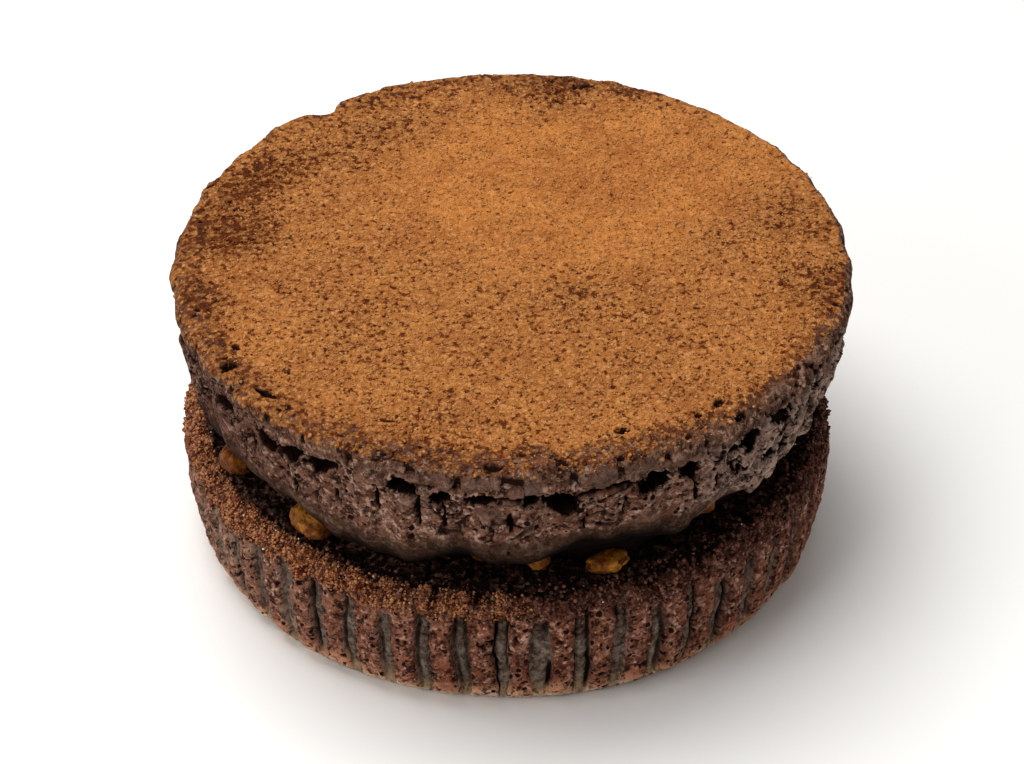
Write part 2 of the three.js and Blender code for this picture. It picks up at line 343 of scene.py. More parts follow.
def lattice_random(corner, seed):
    """A number from 0 to 1 for each whole-number corner of space, the same in every run."""
    i, j, k = corner.astype(np.int64).T
    mixed = (i * 73856093) ^ (j * 19349663) ^ (k * 83492791) ^ (seed * 97531)
    for factor in (1274126177, 668265263):
        mixed = (mixed ^ (mixed >> 15)) & 0x7FFFFFFF
        mixed = (mixed * factor) & 0x7FFFFFFF
    return (mixed ^ (mixed >> 14)) / 0x7FFFFFFF


def swell_noise(points, size, seed):
    """Smooth unevenness from -1 to 1, with swells about size millimetres apart."""
    place = points / size + 0.37 * seed
    low = np.floor(place)
    t = eased(place - low, 0, 1)
    total = np.zeros(len(points))
    for corner in np.ndindex(2, 2, 2):
        weight = np.prod(np.where(corner, t, 1 - t), axis=1)
        total += weight * lattice_random(low + corner, seed)
    return 2 * total - 1


def rough_noise(points, size, seed, layers=3):
    """Swells with smaller and lower swells on them, from about -1 to 1."""
    shares = [0.5 ** n for n in range(layers)]
    noises = [share * swell_noise(points, size * share, seed + 7 * n) for n, share in enumerate(shares)]
    return sum(noises) / sum(shares)


def warped(points, reach, size, seed):
    """The points moved about by up to reach millimetres, so that a pattern read there is ragged."""
    moves = [swell_noise(points, size, seed + n) for n in range(3)]
    return points + reach * np.stack(moves, axis=1)


print("swell at the origin:", swell_noise(np.zeros((1, 3)), 1.0, 5).round(3))

# %% Cells and pits
def cell_noise(points, size, seed):
    """Distance to the nearest and to the second nearest middle of a foam of cells, counted in
    cells, and a random mark from 0 to 1 for the nearest cell."""
    place = points / size
    home = np.floor(place)
    nearest = np.full(len(points), 9.0)
    second = np.full(len(points), 9.0)
    mark = np.zeros(len(points))
    for step in np.ndindex(3, 3, 3):
        cell = home + np.array(step) - 1
        middle = cell + np.stack([lattice_random(cell, seed + n) for n in range(3)], axis=1)
        gap = np.linalg.norm(place - middle, axis=1)
        closer = gap < nearest
        second = np.where(closer, nearest, np.minimum(second, gap))
        mark = np.where(closer, lattice_random(cell, seed + 3), mark)
        nearest = np.where(closer, gap, nearest)
    return nearest, second, mark


def cracks(points, size, width, seed):
    """1 along the borders of cells that are size millimetres across, 0 beyond width from them."""
    nearest, second, _ = cell_noise(warped(points, 0.3 * size, 0.6 * size, seed), size, seed)
    return 1 - eased((second - nearest) * size, 0.3 * width, 2 * width)


def pits(points, spacing, share, seed):
    """1 at the bottom of a pit and 0 on the surface. The given share of the cells hold a pit."""
    nearest, _, mark = cell_noise(warped(points, 0.22 * spacing, 0.5 * spacing, seed), spacing, seed)
    radius = 0.2 + 0.24 * mark / share
    return np.where(mark < share, 1 - eased(nearest, 0.45 * radius, radius), 0)


print("a third of the cells hold a pit:", (cell_noise(np.eye(3), 1.0, 3)[2] < 0.33).tolist())

# %% [markdown]
# ## Round forms
# Both cakes are turned forms. A flat grid of squares is rolled up: its columns go round the cookie
# and its rows go from the middle of the underside, round the edge, to the middle of the top. Its
# seam and its two ends are merged, which leaves one closed skin. Spinning a profile gives the same
# mesh, but far more slowly with a thousand columns.
#
# A profile is a list of stations. Each has a radius and a height, the spacing of the rows after
# it, and how strongly pleats and other features show there.

# %% Profiles
LONGEST_BEND = 2.0


def stations(names, *rows):
    """The stations of a profile, from a table with a name for each column. What is left out is 0."""
    return [dict(zip(names.split(), row)) for row in rows]


def rows_along(profile):
    """Where the rows lie along a profile: 0 at its first station, 1 at the next, and so on."""
    rows = [0.0]
    for i, (here, after) in enumerate(zip(profile, profile[1:])):
        length = math.hypot(after["r"] - here["r"], after["z"] - here["z"])
        count = max(1, round(length / here["step"]))
        rows += [i + (n + 1) / count for n in range(count)]
    return np.array(rows)


def read_profile(profile, along, name):
    """One of the stations' values at a place along the profile."""
    return np.interp(along, np.arange(len(profile)), [station.get(name, 0) for station in profile])


def profile_curve(profile, along):
    """Radius and height on the smooth curve through the stations."""
    knots = np.array([[station["r"], station["z"]] for station in profile], float)
    spans = np.diff(knots, axis=0)
    lengths = np.linalg.norm(spans, axis=1)[:, None]
    slopes = spans / lengths
    inner = (lengths[1:] * slopes[:-1] + lengths[:-1] * slopes[1:]) / (lengths[1:] + lengths[:-1])
    tangents = np.vstack([slopes[:1], inner, slopes[-1:]])
    pull = np.minimum(lengths, LONGEST_BEND)
    i = np.minimum(along.astype(int), len(spans) - 1)
    t = (along - i)[:, None]
    start = (2 * t ** 3 - 3 * t ** 2 + 1) * knots[i] + (t ** 3 - 2 * t ** 2 + t) * pull[i] * tangents[i]
    end = (3 * t ** 2 - 2 * t ** 3) * knots[i + 1] + (t ** 3 - t ** 2) * pull[i] * tangents[i + 1]
    return start + end


def profile_normal(profile, along):
    """The outward direction, as radius and height, square to the profile."""
    nudge = 0.02
    last = len(profile) - 1
    ahead = profile_curve(profile, np.minimum(along + nudge, last))
    behind = profile_curve(profile, np.maximum(along - nudge, 0))
    tangent = ahead - behind
    tangent /= np.linalg.norm(tangent, axis=1)[:, None]
    return np.stack([tangent[:, 1], -tangent[:, 0]], axis=1)


print("profile helpers ready")

# %% A grid rolled into a drum
def write_positions(mesh, points_mm):
    """Puts the vertices at positions in millimetres."""
    mesh.vertices.foreach_set("co", (points_mm * MM).astype(np.float32).ravel())
    mesh.update()


def paint(mesh, **layers):
    """Stores numbers on the vertices under the given names, for the materials to read."""
    for name, values in layers.items():
        layer = mesh.attributes.get(name) or mesh.attributes.new(name, "FLOAT", "POINT")
        layer.data.foreach_set("value", values.astype(np.float32))


def read_paint(mesh, name):
    """The numbers that paint() stored."""
    values = np.zeros(len(mesh.vertices), np.float32)
    mesh.attributes[name].data.foreach_get("value", values)
    return values.astype(float)


def round_points(azimuth, radius, height):
    """Points in millimetres from an azimuth in degrees, a radius and a height."""
    angle = np.radians(azimuth)
    return np.stack([radius * np.cos(angle), radius * np.sin(angle), height], axis=1)


def weld(mesh):
    """Merges vertices that lie together and turns all the faces outwards."""
    bm = bmesh.new()
    bm.from_mesh(mesh)
    bmesh.ops.remove_doubles(bm, verts=bm.verts, dist=0.5e-6)
    bmesh.ops.recalc_face_normals(bm, faces=bm.faces)
    bm.to_mesh(mesh)
    bm.free()


def drum(name, columns, profile):
    """A closed turned mesh. Each vertex knows its column and its place along the profile."""
    rows = rows_along(profile)
    mesh = bpy.data.meshes.new(name)
    bm = bmesh.new()
    bmesh.ops.create_grid(bm, x_segments=columns, y_segments=len(rows) - 1, size=1)
    bm.to_mesh(mesh)
    bm.free()
    place = (read_positions(mesh) + 1) / 2
    column = np.rint(place[:, 0] * columns) % columns
    along = rows[np.rint(place[:, 1] * (len(rows) - 1)).astype(int)]
    radius, height = profile_curve(profile, along).T
    paint(mesh, column=column, along=along)
    write_positions(mesh, round_points(360 * column / columns, radius, height))
    weld(mesh)
    print(f"{name}: {columns} columns, {len(rows)} rows, {len(mesh.polygons)} faces")
    return mesh


def read_drum(mesh, profile):
    """Radius, height and outward normal of each vertex, and what reads a feature there by name."""
    along = read_paint(mesh, "along")
    radius, height = profile_curve(profile, along).T
    return radius, height, profile_normal(profile, along), partial(read_profile, profile, along)


def finish_piece(name, mesh, middle, node, material):
    """Moves the mesh to its middle, and makes it a piece that rides on the root body."""
    points = read_positions(mesh) / MM
    points[:, :2] += middle
    write_positions(mesh, points)
    mesh.shade_smooth()
    mesh.materials.append(material)
    piece = bpy.data.objects.new(name, mesh)
    bpy.context.scene.collection.objects.link(piece)
    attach(piece, "root")
    if node:
        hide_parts(node)
    return piece


print("drum helpers ready")

# %% [markdown]
# ## Chance, the same each time
# The frame's solids were shaped with this little generator of random numbers and with closed waves
# of a few swells. The same seeds give the same waves here, so the fine skin follows the solids.

# %% Seeded chance
def seeded_random(seed):
    """A function that gives the next random number from 0 to 1 each time it is called."""
    state = [seed]

    def next_number():
        whole = 0xFFFFFFFF
        state[0] = (state[0] + 0x6D2B79F5) & whole
        mixed = state[0]
        mixed = ((mixed ^ (mixed >> 15)) * (1 | mixed)) & whole
        mixed ^= (mixed + (((mixed ^ (mixed >> 7)) * (61 | mixed)) & whole)) & whole
        return (mixed ^ (mixed >> 14)) / 2 ** 32

    return next_number


def closed_swells(counts, random):
    """A smooth closed wave round the cookie, from about -1 to 1."""
    phases = [360 * random() for _ in counts]

    def wave(azimuth):
        swells = [np.sin(np.radians(n * azimuth + phase)) for n, phase in zip(counts, phases)]
        return sum(swells) / math.sqrt(len(counts))

    return wave


def nearness(azimuth, middle, half_width):
    """1 at the middle of a feature, easing to 0 at its half width."""
    apart = (azimuth - middle + 180) % 360 - 180
    return 1 - eased(np.abs(apart) / half_width, 0, 1)


def read_ring(ring, azimuth):
    """A height read off a closed ring of (azimuth, height) pairs, eased from each to the next."""
    table = np.array(ring, float)
    table = np.vstack([table[-1] - (360, 0), table, table[0] + (360, 0)])
    wrapped = (azimuth - table[1, 0]) % 360 + table[1, 0]
    i = np.clip(np.searchsorted(table[:, 0], wrapped, side="right") - 1, 0, len(table) - 2)
    t = eased((wrapped - table[i, 0]) / (table[i + 1, 0] - table[i, 0]), 0, 1)
    return table[i, 1] + t * (table[i + 1, 1] - table[i, 1])


print("first random number:", round(seeded_random(11)(), 4))

# %% [markdown]
# ## The lower cake
# The paper cup pressed its square pleats into this wall. The ridges are torn open and pitted where
# the paper peeled away, and the channels between them were pressed smooth and look greyer. At the
# sides of a channel the paper folded sharply and left narrow slits. All this fades out in a smooth
# band at the foot. The columns of the mesh are set close together at the slits and far apart on the
# channels, so that the slits are crisp without more faces.
#
# A side of a cake is given by the azimuth of its middle and its half width in degrees, and a worn
# side also by how worn it is.

# %% Sizes of the lower cake
PLEATS = 54
PITCH = 360 / PLEATS
PLEAT_PHASE = -141
PLEAT_DEPTH = 0.75
PLEAT_UNEVENNESS = 0.22
SLIT_DEPTH = 0.7
BROAD_SIDE = (-142, 42)
HALF_PLEAT = [0, 0.09, 0.18, 0.245, 0.275, 0.3, 0.34, 0.42]
LOWER_PROFILE = stations(
    "r z step pleat crumb",
    (0, 0, 15),
    (31.2, 0, 0.4),
    (31.6, 0, 0.3),
    (32.6, 0.9, 0.25, 0.25, 0.3),
    (33.3, 2.2, 0.22, 0.8, 0.8),
    (33.8, 4.4, 0.22, 1, 1),
    (34.3, 8.4, 0.22, 1, 1),
    (34.25, 12.2, 0.22, 1, 1),
    (33.9, 13.7, 0.22, 0.8, 1.1),
    (33, 14.5, 0.22, 0.3, 1.3),
    (31.4, 14.75, 0.25, 0, 1.3),
    (27, 14.75, 13, 0, 1),
    (0, 14.8, 13),
)


def lower_ridges():
    """For each pleat: its shift along the wall, how proud its ridge is, its channel's depth."""
    random = seeded_random(11)
    outline = closed_swells([2, 3, 7], random)
    closed_swells([3, 5, 8], random)
    ridges = []
    for _ in range(PLEATS):
        shift = 0.05 * (2 * random() - 1)
        proud = PLEAT_UNEVENNESS * (2 * random() - 1)
        depth = PLEAT_DEPTH * (1 + 0.3 * (2 * random() - 1))
        ridges.append((shift, proud, depth))
    return outline, np.array(ridges)


lower_outline, ridge_table = lower_ridges()
print(f"channels are {ridge_table[:, 2].min():.2f} to {ridge_table[:, 2].max():.2f} mm deep")

# %% The pleats
def pleat_places():
    """Where the columns of one pleat lie, from one ridge's middle, 0, to the next one's, 1."""
    rising = np.array(HALF_PLEAT)
    return np.concatenate([rising, [0.5], 1 - rising[:0:-1]])


def pleat_relief(column, height):
    """Azimuth of each vertex, how far it stands out, its slit's depth, its share of ridge, its painted
    shading at the ridge's sides (below 0 for a painted highlight), and the number of its half pleat."""
    places = pleat_places()
    number = (column // len(places)).astype(int)
    offset = places[(column % len(places)).astype(int)]
    after = offset > 0.5
    from_ridge = np.abs(offset - after)
    shift, proud, _ = ridge_table[(number + after) % PLEATS].T
    chance = np.random.default_rng(8).random((4, 2 * PLEATS))
    openness, lean, pinch, middle = chance[:, 2 * number + after]
    openness = 0.3 + 0.7 * openness
    on_ridge = 1 - eased(from_ridge, 0.25, 0.275)
    in_slit = openness * (1 - eased(np.abs(from_ridge - 0.297), 0.03, 0.058))
    rounding = 0.14 * eased(from_ridge, 0.08, 0.25)
    relief = on_ridge * (proud - rounding) - (1 - on_ridge) * ridge_table[number, 2]
    from_middle = (height - 5.5 - 3 * middle) / 6
    narrowing = 0.04 + 0.07 * (lean - 0.5) + (0.02 + 0.06 * pinch) * from_middle ** 2
    broad = nearness(PLEAT_PHASE + PITCH * (number + offset), *BROAD_SIDE)
    narrowing = np.minimum(narrowing, 0.125) * (1 - 0.7 * broad)
    flexible = eased(from_ridge, 0.08, 0.24) * (1 - eased(from_ridge, 0.32, 0.48))
    shift = shift * (from_ridge < 0.3) + np.where(after, -1, 1) * narrowing * flexible
    azimuth = PLEAT_PHASE + PITCH * (number + offset + shift)
    flank = on_ridge * (eased(from_ridge, 0.1, 0.26) * (1 - broad) - 2 * eased(from_ridge, 0.2, 0.24) * broad)
    return azimuth, relief, in_slit * (1 - 0.5 * broad), on_ridge, flank, 2 * number + after


print("columns of a pleat:", pleat_places())

# %% Shape of the lower cake
CRUMB_ROUGHNESS = 0.2
PIT_DEPTH = 0.42
DUSTED_SIDE = -158
CHANNEL_TOP = 13.4
WORN_SIDES = ((-160, 38, 0.45), (-34, 26, 0.3))


def shape_lower_cake():
    """The pleated lower cake."""
    mesh = drum("lower_cake", len(pleat_places()) * PLEATS, LOWER_PROFILE)
    radius, height, normal, feature = read_drum(mesh, LOWER_PROFILE)
    azimuth, pleat, slit, ridge, flank, half = pleat_relief(read_paint(mesh, "column"), height)
    plain = round_points(azimuth, radius, height)
    rough, swell = partial(rough_noise, plain), partial(swell_noise, plain)
    # how far up and down each channel reaches, and where the pleats are worn away
    chance = np.random.default_rng(6).random((2, PLEATS))[:, half // 2]
    top_end = CHANNEL_TOP - 2.6 * chance[0] ** 2
    foot_end = 0.8 + 2.2 * chance[1] ** 3
    ragged_height = height + 1.1 * rough(1.5, 29)
    closing = eased(ragged_height, top_end - 0.8, top_end + 1.6)
    closing = np.maximum(closing, 0.7 * (1 - eased(ragged_height, foot_end - 0.6, foot_end)))
    worn = sum(share * nearness(azimuth, middle, width) for middle, width, share in WORN_SIDES)
    fold = feature("pleat") * (1 + 0.35 * rough(4, 31)) * (1 - closing) * (1 - worn)
    slit = slit * fold * eased(swell_noise(plain * (1, 1, 0.6), 2.6, 33), -0.75, 0.1)
    crumb = feature("crumb")
    ridge = np.maximum(ridge, np.maximum(closing, 0.5 * worn))
    open_crumb = crumb * (0.25 + 0.75 * ridge)
    # what stands out and what is sunk, in millimetres
    shoulder = eased(height, 12.4, 13.8) * eased(radius, 26, 29)
    pit = np.maximum(pits(plain, 1.25, 0.5, 41), 0.8 * pits(plain, 0.8, 0.6, 43)) * open_crumb
    relief = fold * pleat - SLIT_DEPTH * slit - PIT_DEPTH * pit
    relief -= 0.3 * open_crumb * cracks(plain, 3.4, 0.14, 45)
    relief += (CRUMB_ROUGHNESS * open_crumb + 0.14 * shoulder) * rough(1.3, 47)
    relief += (0.05 + 0.18 * shoulder + 0.07 * open_crumb) * rough(0.7, 49, 2)
    relief += 0.3 * crumb * worn * rough(3.2, 51)
    azimuth = azimuth + PITCH * fold * (0.07 * swell(3.5, 53) + 0.06 * rough(1.1, 54))
    radius = radius + 0.15 * lower_outline(azimuth) * eased(radius, 5, 25) + relief * normal[:, 0]
    height = np.maximum(height + relief * normal[:, 1], 0)
    write_positions(mesh, round_points(azimuth, radius, height))
    # what the material reads
    dusty = partial(nearness, azimuth, DUSTED_SIDE)
    dust = (0.04 + 1.3 * dusty(104)) * eased(height + 1.2 * rough(2.5, 59) + 0.9 * dusty(75), 12.2, 14.0)
    shade = eased(height + 0.9 * rough(2.2, 60) + 3.2 * (1 - ridge), 11.6, 14.2)
    edge = 32.4 - 0.8 * dusty(60)
    inside = 1 - eased(radius + 0.5 * rough(1.6, 57), edge, edge + 1.2)
    paint(
        mesh,
        ridge=ridge,
        # painted shade in the slits beside the channels
        slit=slit,
        # painted shade in the pits
        pore=np.clip(pit, 0, 1),
        band=1 - eased(height + 1.2 * rough(1.6, 61), 0.8, 4.2),
        shade=shade * (1 - 0.8 * dusty(80)),
        # painted shading: darker ridge flanks, and a painted highlight (lit) on the broad side
        flank=np.maximum(flank, 0) * (1 - closing) * (1 - worn),
        lit=np.clip(-flank, 0, 1) * (1 - closing) * eased(swell(3, 55), -0.4, 0.2),
        pale=dusty(55) * (0.6 + 0.4 * rough(5, 62)),
        tone=np.random.default_rng(14).random(PLEATS)[(half + 1) // 2 % PLEATS],
        low=1 - eased(height, 2, 10),
        # painted shade: the shelf darkens towards the filling, in the shadow of the upper cake
        moist=inside * (height > 10),
        dust=dust * (1 - 0.6 * pit) * (1 - inside),
    )
    return mesh


lower_mesh = shape_lower_cake()

# %% [markdown]
# ## The upper cake's wall
# The wall is bare crumb. From the bottom up it has a smooth rounded base edge that took the shape
# of the cup, a porous wall with faint pleats, and a row of hollows torn open just under the crust.
# On the right the base edge is torn away and its thin flakes overhang.
#
# A hollow is given by its azimuth and its half width in degrees, and its shape by how far it is
# raised, its half height and its turn. The base edge rises to the height given at each azimuth.

# %% Sizes of the upper cake
TEARS = [
    (-143.4, 3), (-134.6, 2.3), (-128.4, 2.1), (-122.1, 2.9), (-107.4, 2.2), (-101.3, 2), (-95.1, 1.4),
    (-87.2, 1.5), (-82.1, 2.3), (-67.1, 1.8), (-61.1, 1.8), (-47.9, 2), (-38, 2), (-27, 2.4),
]
TEAR_SHAPES = [
    (-0.2, 0.9, 12), (-0.3, 0.9, -8), (-0.4, 1.0, 10), (-0.4, 1.1, 15), (0.1, 1.0, 0), (-0.1, 0.95, 10),
    (0.1, 0.8, 0), (0.0, 1.0, 5), (-0.3, 1.25, -12), (-0.2, 1.6, 18), (0.1, 1.0, -10), (0.0, 1.3, 20),
    (0.2, 1.3, -15), (0.3, 1.4, 20),
]
TEAR_DEPTH = 2.1
TEAR_HEIGHT = 28.6
FAR_SIDE = {"from": -14, "to": 205, "spacing": 8.5}
EDGE_RISE = [
    (-165, 0.3), (-148, 0.4), (-130, 0.6), (-121, -1.2), (-108, -1.3), (-99, 1), (-92, -0.3), (-86, 0),
    (-78, 2), (-69, 1.3), (-61, -0.2), (-49, 2.2), (-44, 1.2), (-41, 2.5), (-37, 0.8), (-33, 2.3),
    (-22, 1.6), (0, 1.2), (55, 0.4), (95, 1.2), (130, 0.2), (160, 1.1),
]
RAGGED_SIDE = (-32, 42)
EDGE_HEIGHT = 19.3
WALL_PROFILE = stations(
    "r z step rise pleat flake crumb",
    (0, 18.2, 13),
    (29.4, 18.2, 0.6),
    (30, 18.2, 0.3),
    (31.4, 18.6, 0.22, 0.5),
    (32.6, EDGE_HEIGHT, 0.2, 1, 0.15, 1),
    (33.5, 20.8, 0.2, 0.9, 0.25, 0.8),
    (33.9, 23.2, 0.2, 0.45, 0.35, 0.3, 1),
    (34.25, 25.6, 0.2, 0.1, 0.4, 0, 1),
    (34.4, 27.3, 0.2, 0, 0.4, 0, 1),
    (34.45, 28.6, 0.2, 0, 0.3, 0, 1),
    (34.4, 29.8, 0.25, 0, 0, 0, 1),
    (33.8, 30.6, 0.8, 0, 0, 0, 0.5),
    (32, 30.9, 16),
    (0, 30.9, 16),
)


def upper_chance():
    """The far side's tears, and the waves of the rim, drawn in the same order as the solid's."""
    random = seeded_random(23)
    tears = list(TEARS)
    azimuth = FAR_SIDE["from"]
    while azimuth < FAR_SIDE["to"]:
        tears.append((azimuth, 1.4 + 1.6 * random()))
        azimuth += FAR_SIDE["spacing"] * (0.6 + 0.8 * random())
    return tears, closed_swells([2, 3, 5, 9], random), closed_swells([17, 29, 41], random)


all_tears, upper_outline, rim_plates = upper_chance()
print(len(all_tears), "hollows under the crust")

# %% Tears and flakes
DEGREE = 2 * math.pi * 34.4 / 360
GROOVES = 60
FLAKE_RADIUS = 33.0
TORN_CELL = 2.1


def tears(plain):
    """How deep each vertex lies in a torn hollow, from 0 to 1, and whether it is on a hollow's rim."""
    ragged = warped(warped(plain, 0.75, 2.2, 71), 0.35, 0.8, 72)
    around = np.degrees(np.arctan2(ragged[:, 1], ragged[:, 0]))
    splinters = 0.7 * (cell_noise(ragged, 0.9, 75)[2] - 0.5) + 0.4 * (cell_noise(ragged, 0.5, 76)[2] - 0.5)
    nearest = np.full(len(plain), 9.0)
    chance = np.random.default_rng(7)
    for i, (middle, half_width) in enumerate(all_tears):
        rise, half_height, turn = chance.uniform((-0.4, 0.6, -20), (0.2, 1.2, 20))
        if i < len(TEAR_SHAPES):
            rise, half_height, turn = TEAR_SHAPES[i]
        sideways = DEGREE * ((around - middle + 180) % 360 - 180)
        upright = ragged[:, 2] - TEAR_HEIGHT - rise - math.tan(math.radians(turn)) * sideways
        across = sideways / (1.2 * DEGREE * half_width)
        nearest = np.minimum(nearest, np.abs(across) ** 1.7 + np.abs(upright / half_height) ** 1.7)
    crack = 1 - eased(np.abs(ragged[:, 2] - TEAR_HEIGHT - 0.4), 0.08, 0.25)
    crack = 0.5 * crack * eased(swell_noise(plain, 5, 74), 0.1, 0.3)
    nearest = nearest + splinters
    return np.maximum(1 - eased(nearest, 0.8, 1.1), crack), 1 - eased(np.abs(nearest - 1.25), 0.05, 0.2)


def grooves(azimuth, plain):
    """1 at the bottom of narrow upright cracks between the crust and the smooth band."""
    chance = np.random.default_rng(9)
    wandering = azimuth + 1.1 * rough_noise(plain, 2.2, 73)
    deepest = np.zeros(len(plain))
    for _ in range(GROOVES):
        middle = chance.uniform(23, 27)
        from_middle = np.abs(plain[:, 2] - middle) / chance.uniform(0.8, 2.4)
        apart = np.abs((wandering - chance.uniform(0, 360) + 180) % 360 - 180)
        half_width = chance.uniform(0.3, 0.7) * (1 - np.clip(from_middle, 0, 1) ** 2)
        deepest = np.maximum(deepest, 1 - eased(apart / np.maximum(half_width, 0.01), 0.4, 1))
    return deepest


def flake_drop(azimuth, ragged):
    """How far the torn lower edge hangs down or is broken off, in millimetres."""
    around = round_points(azimuth, FLAKE_RADIUS, np.zeros(len(azimuth)))
    teeth = cell_noise(around, 2.3, 83)[2] - 0.5
    small = swell_noise(around, 1.0, 87)
    return ragged * (3.4 * teeth + 0.6 * small) + (1 - ragged) * 0.18 * swell_noise(around, 2.5, 89)


def torn_cells(plain):
    """1 on the thin films between the large cells of torn crumb, and a random mark for each cell."""
    nearest, second, mark = cell_noise(warped(plain, 0.6, 1.3, 107), TORN_CELL, 108)
    return 1 - eased((second - nearest) * TORN_CELL, 0.12, 0.5), mark


print(f"one degree of the wall is {DEGREE:.2f} mm")

# %% Shape of the wall
WALL_COLUMNS = 1080


def shape_wall():
    """The crumb body of the upper cake, from its flat underside to just under the crust."""
    mesh = drum("upper_crumb", WALL_COLUMNS, WALL_PROFILE)
    azimuth = PLEAT_PHASE + 360 * read_paint(mesh, "column") / WALL_COLUMNS
    radius, height, normal, feature = read_drum(mesh, WALL_PROFILE)
    plain = round_points(azimuth, radius, height)
    near, rough = partial(nearness, azimuth), partial(rough_noise, plain)
    # the smooth base edge, which rises and falls, and the crumb above it
    ragged = near(*RAGGED_SIDE)
    torn_side = eased(ragged, 0.15, 0.6)
    above_edge = height - EDGE_HEIGHT
    height = height + feature("rise") * read_ring(EDGE_RISE, azimuth)
    height = height + feature("flake") * flake_drop(azimuth, ragged)
    crumb = feature("crumb") + ragged * eased(above_edge, 0.1, 0.5)
    front, left = near(-90, 32), near(-150, 50)
    crumb = np.clip(crumb, 0, 1) * eased(above_edge + 0.8 * rough(3, 91) - 0.5 * front, 2.4, 3.6)
    crumb = np.maximum(crumb, ragged * eased(above_edge, 0.0, 0.4))
    # pleats, cracks, torn cells, pits and hollows
    pleat = feature("pleat") * np.cos(np.radians(PLEATS * (azimuth - PLEAT_PHASE)))
    plates = cracks(plain, 3.0, 0.13, 93) * crumb * eased(swell_noise(plain, 4, 94), -0.3, 0.4)
    groove = grooves(azimuth, plain)
    film, mark = torn_cells(plain)
    open_cell = torn_side * crumb * (1 - film) * (0.25 + 0.75 * mark)
    smooth = crumb * eased(rough(3.6, 104, 2), 0.05, 0.3) * near(-85, 60)
    pit = np.maximum(0.8 * pits(plain, 1.3, 0.28, 95), 0.7 * pits(plain, 0.8, 0.3, 97))
    pit = np.maximum(pit, ragged * pits(plain, 2.0, 0.55, 96)) * crumb
    pit *= (1 - 0.7 * smooth) * (1 + 0.4 * left)
    hollow, hollow_rim = tears(plain)
    hollow = hollow * eased(plain[:, 2], 26.2, 27.0)
    joined = eased(plain[:, 2], 27.4, 28.9) * (1 - eased(hollow_rim + hollow, 0.1, 0.6))
    joined *= 0.4 + 0.25 * rough(2.0, 98) - 0.3 * left
    # what stands out and what is sunk, in millimetres
    relief = PLEAT_DEPTH * pleat * (0.7 + 0.5 * rough(4, 99)) + joined
    relief += (0.1 + 0.2 * crumb) * rough(2.4, 101) + 0.05 * rough(0.8, 102)
    relief -= 0.25 * plates + 0.4 * pit + 0.6 * groove + 0.8 * open_cell + TEAR_DEPTH * hollow
    radius = radius + 0.12 * upper_outline(azimuth) * eased(radius, 5, 25) + relief * normal[:, 0]
    height = height + relief * normal[:, 1] * (1 - hollow)
    write_positions(mesh, round_points(azimuth, radius, height))
    # what the material reads
    # painted shade: the base edge darkens towards the underside that faces the gap
    reach = 4.0 - 1.7 * near(-132, 34) - 0.3 * front
    moist = 1 - eased(above_edge + 0.7 * rough(2.2, 105), 0.2, reach)
    edge_rim = eased(above_edge, -0.4, 0.1) * (1 - eased(above_edge, 0.4, 0.9))
    edge_rim = torn_side * np.maximum(edge_rim, film * crumb)
    paint(
        mesh,
        # painted shade in pits, cracks, grooves and torn cells
        pore=np.clip(pit + 0.6 * plates + groove + 0.8 * eased(open_cell, 0.45, 0.8), 0, 1),
        plate=smooth,
        pale=0.45 * torn_side,
        # painted shade inside the torn hollows
        hollow=hollow,
        band=1 - eased(crumb + 0.3 * rough(1.2, 106), 0.1, 0.9),
        moist=moist * (1 - 0.95 * torn_side),
        shade=0.05 + 0.42 * near(-152, 52) + 0.12 * front,
        rim=np.maximum(edge_rim, 0.5 * hollow_rim) * eased(rough(1.4, 109), -0.5, 0.1),
    )
    return mesh


wall_mesh = shape_wall()

# %% [markdown]
# ## The crust
# The top of the cake baked to a thin crust that overhangs the torn wall, and cocoa powder lies on
# it. A turned mesh would crowd a thousand slivers at its middle, so the crust starts as a square
# grid that is rounded to a disc, and its border is extruded down and in, row by row, for the lip.
#
# A nick is given by its azimuth, radius, length, width, depth and turn, and a chip of the rim by
# its azimuth, half width and depth. A place with thin dust has x, y, a size and how thin the dust
# is there. A thin stretch of the rim has an azimuth, a half width and how thin the dust is, and a
# crack in the lip has an azimuth and a half width.

# %% Sizes of the crust
CRUST_SEGMENTS = 250
CRUST_SLOPE = 0.7
LIP_PROFILE = stations(
    "r z step",
    (33.9, 32.38, 0.25),
    (34.4, 32.05, 0.2),
    (34.8, 31.35, 0.2),
    (34.85, 30.6, 0.2),
    (34.7, 29.95, 0.2),
    (34.3, 29.55, 0.25),
    (33.6, 29.6, 0.8),
    (31.5, 29.9, 16),
    (0, 29.9, 16),
)
RIM_CHIPS = ((127, 4.5, 1.2), (136, 6, -0.4))
NICKS = [
    (-146, 33.7, 1.1, 0.7, 2.2, 65), (-136, 33, 1.5, 0.45, 0.8, 10), (-114, 29.7, 1.5, 0.3, 0.5, 20),
    (-93, 33.8, 1.0, 0.5, 0.9, 0), (-70, 30.6, 0.9, 0.4, 0.8, 0), (-51, 31.4, 0.9, 0.5, 0.7, 25),
    (-56, 31.7, 0.5, 0.4, 0.6, 10), (-50, 33.9, 0.9, 0.5, 1.2, 0), (-150, 31.5, 0.7, 0.4, 0.5, 0),
    (-138, 29.5, 0.6, 0.3, 0.4, 0), (76, 32.6, 1.3, 0.5, 0.4, 15), (150, 31.2, 1.6, 0.4, 0.25, 30),
]
